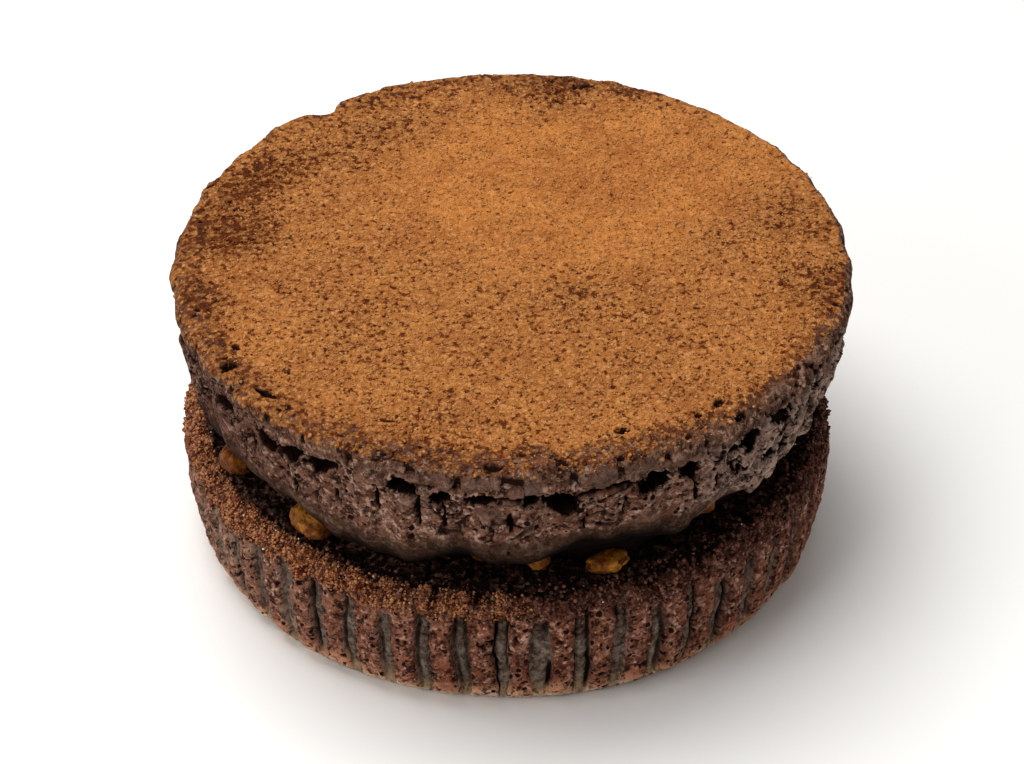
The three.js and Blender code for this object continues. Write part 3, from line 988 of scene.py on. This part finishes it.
THIN_DUST = [
    (-28, 11, 7, 0.65), (-27, 3, 6, 0.5), (-32, 3, 7, 0.7), (-32, -8, 5, 0.9), (-25, 16, 6, 0.45),
    (-13, 24, 9, 0.35), (-19, 17, 8, 0.3), (5, 30, 7, 0.65), (13, 31, 3, 1.0), (28, 7, 8, 0.4),
    (21, 3, 6, 0.3), (31, -5, 7, 0.4), (6, -8, 6, 0.3), (-16, -14, 8, 0.2), (-6, -29, 8, 0.2),
]
THIN_RIM = ((-86, 52, 1.0), (-25, 60, 0.2), (-150, 60, 0.5), (100, 80, 0.35))
SMOOTH_POWDER = {"at": (7, 13), "reach": (27, 19)}
SPECKLED = 0.34
THIN_LIP = 0.8
PLATE_WIDTH = 3.4
PLATE_HANG = 1.1
PLATE_CALM = 0.8
BACK_REACH = 0.3
GAPE = 0.2
LIP_CRACKS = [
    (-125, 0.5), (-116, 0.6), (-106, 1), (-98.5, 0.6), (-90, 2), (-80.5, 0.6), (-73, 0.6), (-65, 0.5),
]
OTHER_CRACKS = {"from": -58, "to": 228, "spacing": 9}
NICK_LEVEL = 31
print(len(NICKS), "nicks,", len(THIN_DUST), "places with thin dust")

# %% A grid rounded to a disc
def crust_mesh():
    """A disc with a lip. Each vertex knows its place on the unit disc and its row of the lip."""
    bm = bmesh.new()
    row_layer = bm.verts.layers.float.new("row")
    bmesh.ops.create_grid(bm, x_segments=CRUST_SEGMENTS, y_segments=CRUST_SEGMENTS, size=1)
    border = [edge for edge in bm.edges if edge.is_boundary]
    for row in range(1, len(rows_along(LIP_PROFILE))):
        grown = bmesh.ops.extrude_edge_only(bm, edges=border)["geom"]
        for vert in (v for v in grown if isinstance(v, bmesh.types.BMVert)):
            vert[row_layer] = row
        border = [e for e in grown if isinstance(e, bmesh.types.BMEdge) and e.is_boundary]
    mesh = bpy.data.meshes.new("upper_crust")
    bm.to_mesh(mesh)
    bm.free()
    x, y, _ = read_positions(mesh).T
    paint(mesh, disc_x=x * np.sqrt(1 - y ** 2 / 2), disc_y=y * np.sqrt(1 - x ** 2 / 2))
    print(f"upper_crust: {len(mesh.polygons)} faces")
    return mesh


def nick_depths(x, y):
    """How deep the nicks in the crust are, in millimetres."""
    deepest = np.zeros(len(x))
    for azimuth, radius, length, width, depth, turn in NICKS:
        angle = math.radians(azimuth)
        slant = math.radians(azimuth + 90 + turn)
        dx, dy = x - radius * math.cos(angle), y - radius * math.sin(angle)
        along = (dx * math.cos(slant) + dy * math.sin(slant)) / length
        across = (dy * math.cos(slant) - dx * math.sin(slant)) / width
        deepest = np.maximum(deepest, depth * (1 - eased(np.hypot(along, across), 0.6, 1.05)))
    return deepest


def lip_cracks(azimuth, plain):
    """1 in the upright cracks that part the lip into plates."""
    chance = np.random.default_rng(12)
    cracks_at = list(LIP_CRACKS)
    place = OTHER_CRACKS["from"]
    while place < OTHER_CRACKS["to"]:
        cracks_at.append((place, chance.uniform(0.3, 0.8)))
        place += OTHER_CRACKS["spacing"] * chance.uniform(0.6, 1.5)
    near = partial(nearness, azimuth + 0.7 * rough_noise(plain, 1.8, 130))
    return np.max([eased(near(middle, 1.5 * half), 0.15, 0.6) for middle, half in cracks_at], axis=0)


def dust_thinness(x, y):
    """How thinly the powder lies, from 0 to 1."""
    bare = [thin * (1 - eased(np.hypot(x - cx, y - cy) / size, 0, 1)) for cx, cy, size, thin in THIN_DUST]
    (middle_x, middle_y), (reach_x, reach_y) = SMOOTH_POWDER["at"], SMOOTH_POWDER["reach"]
    away = eased(np.hypot((x - middle_x) / reach_x, (y - middle_y) / reach_y), 0.5, 1.1)
    return np.clip(sum(bare) + SPECKLED * away, 0, 1)


crust = crust_mesh()

# %% Shape of the crust
def shape_crust(mesh):
    """The dusted crust with its ragged overhanging lip."""
    x, y = read_paint(mesh, "disc_x"), read_paint(mesh, "disc_y")
    row = read_paint(mesh, "row").astype(int)
    azimuth, share = np.degrees(np.arctan2(y, x)), np.hypot(x, y)
    along = rows_along(LIP_PROFILE)[row]
    edge, height = profile_curve(LIP_PROFILE, along).T
    normal = -profile_normal(LIP_PROFILE, along)
    on_top = row == 0
    normal[on_top] = np.stack([eased(share[on_top], 0.985, 1) * 0.4, np.ones(on_top.sum())], axis=1)
    normal /= np.linalg.norm(normal, axis=1)[:, None]
    radius = edge * share
    plain = round_points(azimuth, radius, height)
    near, rough = partial(nearness, azimuth), partial(rough_noise, plain)
    # the lip's outline
    under = 1 - eased(along, 6, 7)
    lip = eased(along, 0.2, 1.5) * under + on_top * 0.4 * eased(share, 0.94, 1)
    overhang = eased(along, 2, 4.5) * under
    chip = sum(depth * near(middle, width) for middle, width, depth in RIM_CHIPS)
    lumpy = 0.28 - 0.16 * near(15, 60) - 0.14 * near(180, 30)
    outward = 0.12 * upper_outline(azimuth) + lip * lumpy * rim_plates(azimuth)
    outward += BACK_REACH * near(90, 120)
    radius = radius + (outward - chip) * eased(share, 0.6, 1) * eased(edge, 5, 25)
    ragged = near(*RAGGED_SIDE)
    slope = CRUST_SLOPE * ragged * eased(radius, 31.5, 34.5)
    # where the crust is nicked, thinly dusted or broken
    nick = nick_depths(plain[:, 0], plain[:, 1]) * (height > NICK_LEVEL)
    rim = sum(share_of_rim * near(*place) for *place, share_of_rim in THIN_RIM)
    rim = np.minimum(rim, 1) * eased(radius + 1.0 * rough(3, 109), 30.5, 32.8)
    thin = np.clip(dust_thinness(plain[:, 0], plain[:, 1]) + rim, 0, 1)
    bare = np.clip(thin + lip, 0, 1)
    broken = ragged * (1 - eased(azimuth, -28, -14))
    torn = broken * eased(radius, 32.2, 33.8)
    face = eased(along, 0.8, 2.2) * (1 - eased(along, 4.6, 5.6)) * (1 - torn)
    calm = 1 - PLATE_CALM * face
    # pits, torn cells and the cracks between the lip's plates
    pit = np.maximum(pits(plain, 1.15, 0.3, 113) * (0.35 + 0.65 * bare), torn * pits(plain, 1.6, 0.7, 114))
    pit = np.maximum(pit * calm, 0.9 * rim * on_top * pits(plain, 1.3, 0.5, 116))
    small = pits(plain, 0.8, 0.5, 115) * (0.2 + 0.8 * bare) * calm
    film, mark = torn_cells(plain)
    film = film * torn
    open_cell = (torn - film) * eased(mark, 0.35, 1)
    around = warped(round_points(azimuth, edge, 0.4 * height), 0.5, 1.5, 128)
    hang = cell_noise(around, PLATE_WIDTH, 129)[2]
    split = lip_cracks(azimuth, plain) * eased(along, 0.8, 2.2) * under
    plates = np.maximum(0.5 * cracks(plain, 3.2, 0.18, 117) * lip * calm, split)
    # what stands out, what is sunk and how far the lip sags, in millimetres
    relief = 0.14 * rough(9, 111) * (1 - eased(along, 0, 1))
    relief += calm * (0.06 + 0.12 * bare + 0.2 * torn) * rough(1.4, 119)
    relief += (0.08 * calm + 0.06 * lip) * rough(0.7, 121, 2)
    sunk = (0.3 + 0.4 * torn) * pit + 0.16 * small + (0.35 + 0.9 * overhang) * plates + nick
    relief -= sunk + 0.7 * open_cell
    gaping = np.max([near(*tear) for tear in all_tears], axis=0)
    sag = 0.3 * rough(4, 123) + 0.2 * rough(1.2, 124) + GAPE * gaping
    sag = (sag + THIN_LIP * ragged - PLATE_HANG * (hang - 0.5)) * overhang
    radius = np.maximum(radius + relief * normal[:, 0], 0)
    height = height - slope + sag + relief * normal[:, 1]
    write_positions(mesh, round_points(azimuth, radius, height))
    # what the material reads
    falls = eased(height + 0.7 * rough(2.2, 125) + 0.8 * near(-155, 65) - 0.9 * near(75, 110), 31.2, 32.3)
    edge_bare = broken * eased(share + 0.03 * rough(4, 127), 0.955, 0.99) * 0.85
    dust = np.where(on_top, 1, falls) * (1 - edge_bare) * (1 - 0.12 * rim)
    in_front = 0.1 + 0.9 * near(-84, 33)
    flat = in_front * face * (1 - eased(plates, 0.05, 0.3)) * eased(rough(3.2, 132), -0.35, -0.1)
    lip_edge_highlight = (1 - eased(np.abs(along - 4.6), 0.2, 0.7)) * eased(rough(1.2, 126), -0.3, 0.2)
    paint(
        mesh,
        dust=np.clip(dust, 0, 1) * (1 - np.clip(nick * 2, 0, 1)),
        thin=thin,
        top=on_top * (1 - 0.7 * torn) * (1 - 0.75 * rim),
        plate=flat * (1 - eased(pit, 0.2, 0.5)),
        # painted highlight along the lip's lower edge, and paler films of torn cells
        edge=np.maximum(lip_edge_highlight, film * eased(rough(1.4, 133), -0.4, 0.2)),
        # painted shade in pits, cracks between plates and nicks
        pore=np.clip(pit * (0.4 + 0.6 * bare) + 0.5 * small * bare + plates + 2 * nick, 0, 1),
    )
    weld(mesh)


shape_crust(crust)
print("crust top at", round(max(read_positions(crust)[:, 2]) / MM, 2), "mm")

# %% [markdown]
# ## Cake and cocoa powder
# Cake crumb is matt, because light is lost in its bubbles, with a slight fatty shine from the cocoa
# butter. Its IOR is about that of starch and fat, 1.45. Cocoa powder is fine and quite matt. A layer
# of it is warmer and much lighter than the wet-looking crumb, and dark crumb shows through wherever
# the layer is thin. Its own grains, about 0.02 mm across, are too fine to show, so the clumps that
# they cling together in are drawn instead.

# %% Cocoa powder over crumb
CLUMP = 0.42
CLUMP_SHIFT = 5.0


def cocoa_layer(tree, under, dust, thin):
    """Lays powder over the colour under. dust is how much lies there; thin adds bare specks and strengthens
    the painted light and shade on the clumps.
    """
    mark, border = granules(tree, CLUMP, CLUMP_SHIFT)
    specks = grain(tree, 0.66, 2.0, 0.5, 11.0)
    bright = (grain(tree, 0.6, 3.0, 0.6, 3.0) + mark * 0.3).stepped(0.5, 1.0)
    powder = coated(
        mottled(tree, "#985725", "#b57134", 6.0, 3.0, 0.6, steps=(0.3, 0.7)),
        # painted highlight on the clumps, stronger where the powder is thin
        (bright * (thin + 0.5).at_most(1.0), "#d3955a"),
        (thin * 0.55, "#855831"),
        # darker specks and the cracks between clumps: partly darker powder, partly painted shade
        ((specks + thin * 0.18).stepped(0.6, 0.76), "#632a07"),
        (border * (thin * 0.5 + 0.04), "#4e1e04"),
    )
    patchy = (0.5 - specks) * 1.8 + (mark - 0.5) * 0.6
    covered = dust + patchy * (dust * 3.0).at_most(1.0) - thin * 0.4
    return coated(under, (covered.stepped(0.3, 0.62), powder))


def sponge(tree, dark, light, pale, spacing):
    """Mottled crumb, pale round its pores. Gives its colour, its holes, which the materials darken as painted
    shade, and its height.
    """
    mark, border = granules(tree, CLUMP, 7.0)
    tone = grain(tree, 2.4, 3.0, 0.6) + (grain(tree, 0.9, 2.0) + mark) * 0.5
    flecks = (grain(tree, 0.75, 2.0, 0.6, 17.0) + mark * 0.2).stepped(0.64, 0.78)
    holes, rims = pores(tree, spacing, 0.6)
    small_holes, small_rims = pores(tree, 0.6 * spacing, 0.5, 4.0)
    rims = rims.at_least(small_rims * 0.6) * grain(tree, 0.9, 2.0, 0.5, 23.0).stepped(0.45, 0.65)
    cracked = grain(tree, 1.1, 2.0, 0.5, 29.0).stepped(0.46, 0.68)
    holes = holes.at_least(small_holes * 0.8).at_least(border * (cracked * 0.9))
    crumb = coated(dark, (tone.stepped(0.6, 1.4), light), (flecks * 0.75, pale), (rims * 0.4, pale))
    return crumb, holes, mark * 0.5 + grain(tree, 0.7, 3.0, 0.6) + rims * 0.3 - holes * 1.5


def dusted_crust():
    """Baked cocoa crust under sifted cocoa powder: matt and warm brown, dark where it is bare."""
    finish = {"Roughness": 0.95, "IOR": 1.45, "Specular IOR Level": 0.1}
    material, tree = new_material("cocoa_powder_on_crust", finish)
    crumb, holes, rough = sponge(tree, "#462a1d", "#7a5540", "#a3826e", 1.0)
    plate, top, edge, dust, thin, pore = painted(tree, "plate", "top", "edge", "dust", "thin", "pore")
    coarse = 1.0 - plate * 0.8
    crumb = coated(
        crumb,
        (plate * 0.85, mottled(tree, "#583f36", "#7d6156", 1.4, 4.0, 0.6, 31.0)),
        # painted shade in the sponge's holes
        (holes * coarse, "#1c0804"),
        (top, mottled(tree, "#3c1304", "#5f3118", 1.2, 3.0)),
        # painted highlight along the lip's lower edge, and paler films of torn cells
        (edge * 0.45, "#8d715f"),
    )
    # pits, cracks and nicks are darkened: painted shade
    colour = coated(cocoa_layer(tree, crumb, dust, thin), (pore.stepped(0.2, 0.75), "#200a04"))
    clump, seam = granules(tree, CLUMP, CLUMP_SHIFT)
    height = grain(tree, 0.35, 3.0, 0.6) + rough * 0.5 * coarse + (clump * 0.3 - seam * 0.4) * thin
    cover(tree, colour, height, 0.25)
    return material


crust_piece = finish_piece("upper_crust", crust, upper_middle, "upper_cookie", dusted_crust())
print("made", crust_piece.name)

# %% Bare crumb of the upper cake
def bare_crumb():
    """Open cocoa sponge, torn where the paper was peeled away: matt, with pale rims round pores that painted
    shade darkens.
    """
    finish = {"Roughness": 0.9, "IOR": 1.45, "Specular IOR Level": 0.04}
    material, tree = new_material("cocoa_sponge_crumb", finish)
    crumb, holes, rough = sponge(tree, "#583526", "#8c6552", "#bb9987", 0.85)
    plate, pale, band, rim, pore = painted(tree, "plate", "pale", "band", "rim", "pore")
    hollow, shade, moist = painted(tree, "hollow", "shade", "moist")
    olive = grain(tree, 2.8, 2.0, 0.5, 51.0).stepped(0.44, 0.58)
    pressed = mottled(tree, "#281610", "#40291f", 0.5, 3.0, 0.6)
    bare = 1.0 - plate.at_least(band) * 0.5
    colour = coated(
        crumb,
        (plate * 0.75, mottled(tree, "#5b4136", "#7f6051", 1.4, 4.0, 0.6, 31.0)),
        (pale, "#aa8d81"),
        (band, coated(pressed, (olive * 0.6, "#4c3a27"), (0.25, crumb))),
        (rim * 0.8, "#b39787"),
        # painted shade: the holes, pits, cracks and torn hollows are darkened
        (holes * bare, "#1c0905"),
        (pore.stepped(0.1, 0.7), "#0c0505"),
        (hollow.stepped(0.02, 0.2), "#190b08"),
        (hollow.stepped(0.25, 0.7), "#080303"),
        (shade, "#2a1711"),
        # painted shade towards the underside, next to the gap
        (moist, "#0e0604"),
    )
    cover(tree, colour, rough * bare, 0.22)
    return material


wall_piece = finish_piece("upper_crumb", wall_mesh, upper_middle, "upper_cookie", bare_crumb())
print("made", wall_piece.name)

# %% Powder and crumbs, mixed
def crumbly_powder(tree, under, dust):
    """Lays a mix of powder and fine crumbs over the colour under: tan and dark red granules."""
    mark, border = granules(tree, 0.5, 21.0)
    patch = grain(tree, 2.4, 3.0, 0.6, 65.0)
    powder = coated(
        "#95572b",
        (patch.stepped(0.42, 0.58), "#834229"),
        (mark.stepped(0.45, 0.2), "#4e200f"),
        (mark.stepped(0.62, 0.85), "#bd8256"),
        (grain(tree, 0.6, 3.0, 0.6, 67.0).stepped(0.56, 0.72), "#5b2511"),
        # painted shade in the cracks between granules
        (border * 0.75, "#2e0f06"),
    )
    uneven = patch - mark + grain(tree, 0.9, 2.0, 0.5, 69.0)
    covered = (dust + (uneven - 0.5) * 0.5).stepped(0.25, 0.6) * dust.stepped(0.0, 0.15)
    return coated(under, (covered, powder))


print("powder with crumbs ready")

# %% Pleated crumb of the lower cake
def pleated_crumb():
    """Cocoa sponge against its cup: torn reddish ridges, and grey channels pressed smooth."""
    finish = {"Roughness": 0.85, "IOR": 1.45, "Specular IOR Level": 0.08}
    material, tree = new_material("cocoa_sponge_against_paper", finish)
    crumb, holes, rough = sponge(tree, "#582d1e", "#96634e", "#cda18c", 0.8)
    ridge, flank, lit, tone, low, pale = painted(tree, "ridge", "flank", "lit", "tone", "low", "pale")
    band, pore, slit, shade, dust, moist = painted(tree, "band", "pore", "slit", "shade", "dust", "moist")
    ridge_colour = coated(
        crumb,
        (grain(tree, 1.8, 2.0, 0.5, 9.0).stepped(0.46, 0.66) * low * 0.75, "#8c4630"),
        (tone.stepped(0.3, 0.9) * 0.35, "#84503a"),
        # painted shade on the ridges' flanks, and a painted highlight
        (flank * 0.55, "#35190f"),
        (lit * 0.55, "#b59c88"),
        (pale * 0.5, "#8a6f5c"),
    )
    channel_colour = coated(
        mottled(tree, "#5a483d", "#928070", 0.9, 4.0, 0.7),
        (tone * 0.5, "#3f322d"),
        (grain(tree, 0.7, 2.0, 0.5, 61.0).stepped(0.56, 0.68) * 0.7, "#241713"),
    )
    foot = coated("#d59a76", (band.stepped(0.8, 1.0), "#d8b89c"))
    foot_colour = coated("#a08464", (ridge, foot))
    torn = ridge * 0.55 + 0.45
    mark, _ = granules(tree, 0.45, 13.0)
    colour = coated(
        channel_colour,
        (ridge, ridge_colour),
        (band * grain(tree, 1.2, 3.0, 0.6, 63.0).stepped(0.15, 0.45) * 0.9, foot_colour),
        # painted shade: the holes, pits and slits are darkened
        (holes * torn, "#210a06"),
        (pore.stepped(0.1, 0.7), "#200905"),
        (slit.stepped(0.12, 0.6), "#1b0c09"),
        ((mark.stepped(0.7, 0.3) * 0.55 + 0.3) * shade, "#2b110a"),
    )
    # painted shade on the shelf near the filling, lighter on some granules
    wet = 1.0 - mark.stepped(0.3, 0.9) * 0.35
    colour = coated(crumbly_powder(tree, colour, dust), (moist * wet, "#110605"))
    cover(tree, colour, rough * torn, 0.22)
    return material


lower_piece = finish_piece(
    "lower_cake", lower_mesh, lower_middle, "lower_cookie", pleated_crumb()
)
print("made", lower_piece.name)

# %% [markdown]
# ## The ganache
# Chocolate and cream, spooned on soft and squeezed out unevenly when the upper cake was pressed
# down. It lies in deep shade and shows only as a dark satin edge.

# %% Ganache
FILLING_RADIUS = 28.2
FILLING_FLOOR = 14.7
FILLING_ROOF = 18.25
FILLING_COLUMNS = 540
GANACHE_PROFILE = stations(
    "r z step",
    (0, FILLING_FLOOR, 14),
    (FILLING_RADIUS - 0.6, FILLING_FLOOR, 0.3),
    (FILLING_RADIUS, FILLING_FLOOR + 0.7, 0.3),
    (FILLING_RADIUS + 0.4, (FILLING_FLOOR + FILLING_ROOF) / 2, 0.3),
    (FILLING_RADIUS, FILLING_ROOF - 0.7, 0.3),
    (FILLING_RADIUS - 0.6, FILLING_ROOF, 14),
    (0, FILLING_ROOF, 14),
)


def satin_ganache():
    """Dark chocolate ganache, set but soft, with a faint satin edge: near black, partly its own colour and
    partly painted shade of the gap.
    """
    finish = {"Roughness": 0.6, "IOR": 1.47, "Specular IOR Level": 0.04}
    material, tree = new_material("dark_chocolate_ganache", finish)
    # its colour is darker than the ganache's own: painted shade of the gap
    cover(tree, coated("#0c0605", (grain(tree, 1.5, 3.0), "#180b07")), grain(tree, 0.7, 3.0), 0.15)
    return material


def make_ganache():
    """The filling, with an edge that swells and folds."""
    mesh = drum("ganache", FILLING_COLUMNS, GANACHE_PROFILE)
    azimuth = 360 * read_paint(mesh, "column") / FILLING_COLUMNS
    radius, height = read_drum(mesh, GANACHE_PROFILE)[:2]
    squeezed = closed_swells([2, 5, 9, 13], seeded_random(37))
    folds = rough_noise(round_points(azimuth, radius, height), 2.5, 131)
    radius = radius + eased(radius, 10, 26) * (0.6 * squeezed(azimuth) + 0.35 * folds)
    write_positions(mesh, round_points(azimuth, radius, height))
    return finish_piece("ganache", mesh, upper_middle, "ganache_filling", satin_ganache())


ganache = make_ganache()
print("made", ganache.name)

# %% [markdown]
# ## Candied orange peel
# Diced peel boiled in syrup: amber, translucent and sticky, with rounded corners and dimpled skin.
# Each dice starts from a copy of its solid, whose loose triangles are merged first. It is then
# subdivided, rounded, creased and dimpled. Light that enters it spreads a millimetre or so and
# comes out warmer, which is what subsurface scattering does. Where a dice is sunk in the ganache,
# the ganache stains it dark from its bottom up to a height that the ganache reaches. Each also has
# a share by which it is darkened all over: painted shade, strongest on the dice deep in the gap.

# %% Peel
PEELS = sorted((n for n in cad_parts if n.startswith("orange_peel_")), key=lambda n: int(n[12:]))
PEEL_SEED = 200
PEEL_CUTS = 4
PEEL_SMOOTHINGS = 5
# For each dice: its share of darkening all over, which is painted shade, and how high the ganache stain
# reaches, in mm.
STAIN_AND_SHADE = ((0.1, 2.9), (0.1, 2.1), (0.95, 1.1), (0.5, 1.1), (0.1, 0.9), (0.6, 1.1))


def candied_peel():
    """Peel boiled in syrup: amber and translucent, with a thin wet coat that glints a little."""
    finish = {
        "Roughness": 0.5, "IOR": 1.48, "Subsurface Weight": 0.4, "Subsurface Scale": 0.001,
        "Subsurface Radius": (1.0, 0.45, 0.12),
        "Coat Weight": 0.06, "Coat Roughness": 0.2, "Specular IOR Level": 0.08,
    }
    material, tree = new_material("candied_orange_peel", finish)
    colour = coated(
        mottled(tree, "#74400f", "#b47922", 1.3, 3.0, 0.6),
        (grain(tree, 0.8, 3.0, 0.6, 4.0).stepped(0.54, 0.66), "#4d1d08"),
        (grain(tree, 2.2, 2.0, 0.5, 14.0).stepped(0.5, 0.62) * 0.7, "#6b2c0e"),
        # ganache stain, and painted shade
        (painted(tree, "soaked") * 0.85, "#4a1c0c"),
    )
    cover(tree, colour, grain(tree, 0.6, 3.0), 0.2)
    return material


def make_peel(number, node, material):
    """One dice of peel, shaped over its solid."""
    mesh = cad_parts[node].data.copy()
    mesh.name = node.replace("orange_", "")
    mesh.materials.clear()
    bm = bmesh.new()
    bm.from_mesh(mesh)
    bmesh.ops.remove_doubles(bm, verts=bm.verts, dist=1e-6)
    bmesh.ops.subdivide_edges(bm, edges=bm.edges, cuts=PEEL_CUTS, use_grid_fill=True)
    axes = {"use_axis_x": True, "use_axis_y": True, "use_axis_z": True}
    for _ in range(PEEL_SMOOTHINGS):
        bmesh.ops.smooth_vert(bm, verts=bm.verts, factor=0.5, **axes)
    bm.to_mesh(mesh)
    bm.free()
    seed = PEEL_SEED + number
    points = read_positions(mesh) / MM
    outward = points - points.mean(axis=0)
    outward /= np.linalg.norm(outward, axis=1)[:, None]
    relief = 0.05 + 0.4 * rough_noise(points, 1.9, seed) + 0.1 * rough_noise(points, 0.7, seed + 40)
    relief -= 0.2 * pits(points, 1.0, 0.4, seed + 50)
    relief -= 0.14 * cracks(points * (1, 1, 2.2), 1.6, 0.15, seed + 70)
    write_positions(mesh, points + outward * relief[:, None])
    share, reach = STAIN_AND_SHADE[number % len(STAIN_AND_SHADE)]
    height = points[:, 2] + 0.9 * rough_noise(points, 1.5, seed + 60)
    low = points[:, 2].min()
    # stained by the ganache from the bottom up, and darkened all over by the dice's share: painted shade
    paint(mesh, soaked=np.maximum(1 - eased(height, low + 0.4 * reach, low + reach), share))
    return finish_piece(mesh.name, mesh, np.zeros(2), node, material)


peel_material = candied_peel()
peels = [make_peel(number, node, peel_material) for number, node in enumerate(PEELS)]
print(len(peels), "pieces of peel")

# %% [markdown]
# ## Loose cocoa, crumbs and sugar
# Powder clumps into grains, cutting and pressing leaves crumbs, and the syrup of the peel leaves a
# few bright sugar crystals. Each kind is one mesh: a little ball of twenty faces, or of eight for
# the two most numerous kinds, copied to many places with its own size and turn.

# %% Scattering
def small_ball(fine):
    """Corners and faces of a ball: twenty triangles if it is fine, else eight."""
    bm = bmesh.new()
    if fine:
        bmesh.ops.create_icosphere(bm, subdivisions=1, radius=1)
    else:
        bmesh.ops.create_uvsphere(bm, u_segments=4, v_segments=2, radius=1)
    corners = np.array([v.co[:] for v in bm.verts])
    faces = np.array([[v.index for v in f.verts] for f in bm.faces])
    bm.free()
    return corners, faces


def spots_on(piece, keep, count, seed):
    """Places in millimetres near random vertices of a piece, drawn with the chances in keep."""
    points = read_positions(piece.data) / MM
    chances = keep(points)
    random = np.random.default_rng(seed)
    chosen = points[random.choice(len(points), count, replace=False, p=chances / chances.sum())]
    return chosen + random.uniform(-0.12, 0.12, chosen.shape) * (1, 1, 0.3)


def scatter(name, spots, sizes, material, fine=True, flatness=0.8):
    """One mesh of small uneven grains, each in its own place. Lengths are millimetres."""
    corners, faces = small_ball(fine)
    chance = np.random.default_rng(len(spots))
    turn = chance.uniform(0, 2 * math.pi, len(spots))
    shape = corners[None] * chance.uniform(0.6, 1.25, (len(spots), len(corners), 1))
    shape = shape * sizes[:, None, None] * np.array([1, 1, flatness])
    cos, sin = np.cos(turn)[:, None], np.sin(turn)[:, None]
    x, y, z = shape[..., 0], shape[..., 1], shape[..., 2]
    turned = np.stack([x * cos - y * sin, x * sin + y * cos, z], axis=-1)
    points = (turned + spots[:, None]).reshape(-1, 3)
    steps = len(corners) * np.arange(len(spots))[:, None, None]
    mesh = bpy.data.meshes.new(name)
    mesh.from_pydata((points * MM).tolist(), [], (faces[None] + steps).reshape(-1, 3).tolist())
    print(f"{name}: {len(spots)} grains, {len(mesh.polygons)} faces")
    return finish_piece(name, mesh, np.zeros(2), None, material)


def plain_grain(name, first, second, finish):
    """A material for loose grains, mottled between two colours as single grains are."""
    material, tree = new_material(name, finish)
    cover(tree, mottled(tree, first, second, 0.5, 2.0, steps=(0.3, 0.7)))
    return material


GRAIN_SEED = 3
chance = np.random.default_rng(GRAIN_SEED)


def strew(name, spots, material, smallest, added, fine=True):
    """Loose grains of one kind at the spots, most of them hardly larger than the smallest."""
    sizes = smallest + added * chance.random(len(spots)) ** 2
    return scatter(name, spots, sizes, material, fine)


print("a coarse ball has", len(small_ball(False)[1]), "faces")

# %% Grains of cocoa
POWDER_LEVEL = 31.3
CRUST_LEVEL = 31.0


def polar(points, middle):
    """Azimuth and radius of points about the axis of a cake, and their x and y from it."""
    x, y = (points[:, :2] - middle).T
    return np.degrees(np.arctan2(y, x)), np.hypot(x, y), x, y


def covered_top(points):
    """Over the top of the crust, but sparsely where the powder lies thinly."""
    azimuth, radius, x, y = polar(points, upper_middle)
    torn = nearness(azimuth, *RAGGED_SIDE) * eased(radius, 31.5, 33.5)
    sparse = 0.95 * eased(radius, 30, 33)
    return (points[:, 2] > POWDER_LEVEL) * (1.1 - dust_thinness(x, y)) * (1 - np.maximum(sparse, torn))


def bare_top(points):
    """Where the powder lies thinly."""
    _, radius, x, y = polar(points, upper_middle)
    return (points[:, 2] > CRUST_LEVEL) * (radius < 32.5) * dust_thinness(x, y) ** 2


dry = {"Roughness": 0.95, "Specular IOR Level": 0.1}
powder = plain_grain("cocoa_powder_grains", "#945a29", "#b98150", dry)
clumped = plain_grain("cocoa_powder_clumps", "#8f5729", "#b37a46", dry)
baked = plain_grain("sponge_crumbs", "#461a04", "#74411c", dry)

grain_spots = spots_on(crust_piece, covered_top, count=15000, seed=21)
clump_spots = spots_on(crust_piece, covered_top, count=2600, seed=23)
bare_spots = spots_on(crust_piece, bare_top, count=1500, seed=25)
strew("cocoa_grains", grain_spots, powder, smallest=0.07, added=0.08, fine=False)
strew("cocoa_clumps", clump_spots, clumped, smallest=0.16, added=0.12)
strew("crust_crumbs", bare_spots, baked, smallest=0.1, added=0.12)

# %% Crumbs and sugar
SHOULDER = 12.2
DUSTY_SHOULDER = (-148, 64)
SUGAR_LIFT = 0.08
SUGAR_SIZES = (0.08, 0.13)


def on_lower_shelf(points):
    """On the rim of the lower cake, and fewer towards the filling."""
    return (points[:, 2] > SHOULDER) * eased(polar(points, lower_middle)[1], 30.4, 33.2)


def on_dusty_shoulder(points):
    """On the dusted side of the lower cake's shoulder."""
    azimuth, radius, _, _ = polar(points, lower_middle)
    return nearness(azimuth, *DUSTY_SHOULDER) * (points[:, 2] > SHOULDER) * eased(radius, 32, 33.4)


# a damp finish with a little shine, for the crumbs on the shelf
moist = {"Roughness": 0.85, "Specular IOR Level": 0.2}
soft = plain_grain("shoulder_crumbs", "#2c120a", "#805140", moist)
tan = plain_grain("cocoa_and_crumbs", "#6e3317", "#be845a", dry)

crumb_spots = spots_on(lower_piece, on_lower_shelf, count=3200, seed=31)
dusty_spots = spots_on(lower_piece, on_dusty_shoulder, count=4500, seed=33)
strew("shelf_crumbs", crumb_spots, soft, smallest=0.12, added=0.2)
strew("shelf_cocoa", dusty_spots, tan, smallest=0.12, added=0.16, fine=False)

crystal = plain_grain("sugar_crystals", "#cfc4b8", "#ece4da", {"Roughness": 0.12, "IOR": 1.54})
sugar_spots = spots_on(lower_piece, on_lower_shelf, count=22, seed=41) + (0, 0, SUGAR_LIFT)
sugar_sizes = chance.uniform(*SUGAR_SIZES, len(sugar_spots))
scatter("sugar_crystals", sugar_spots, sugar_sizes, crystal, flatness=1.0)
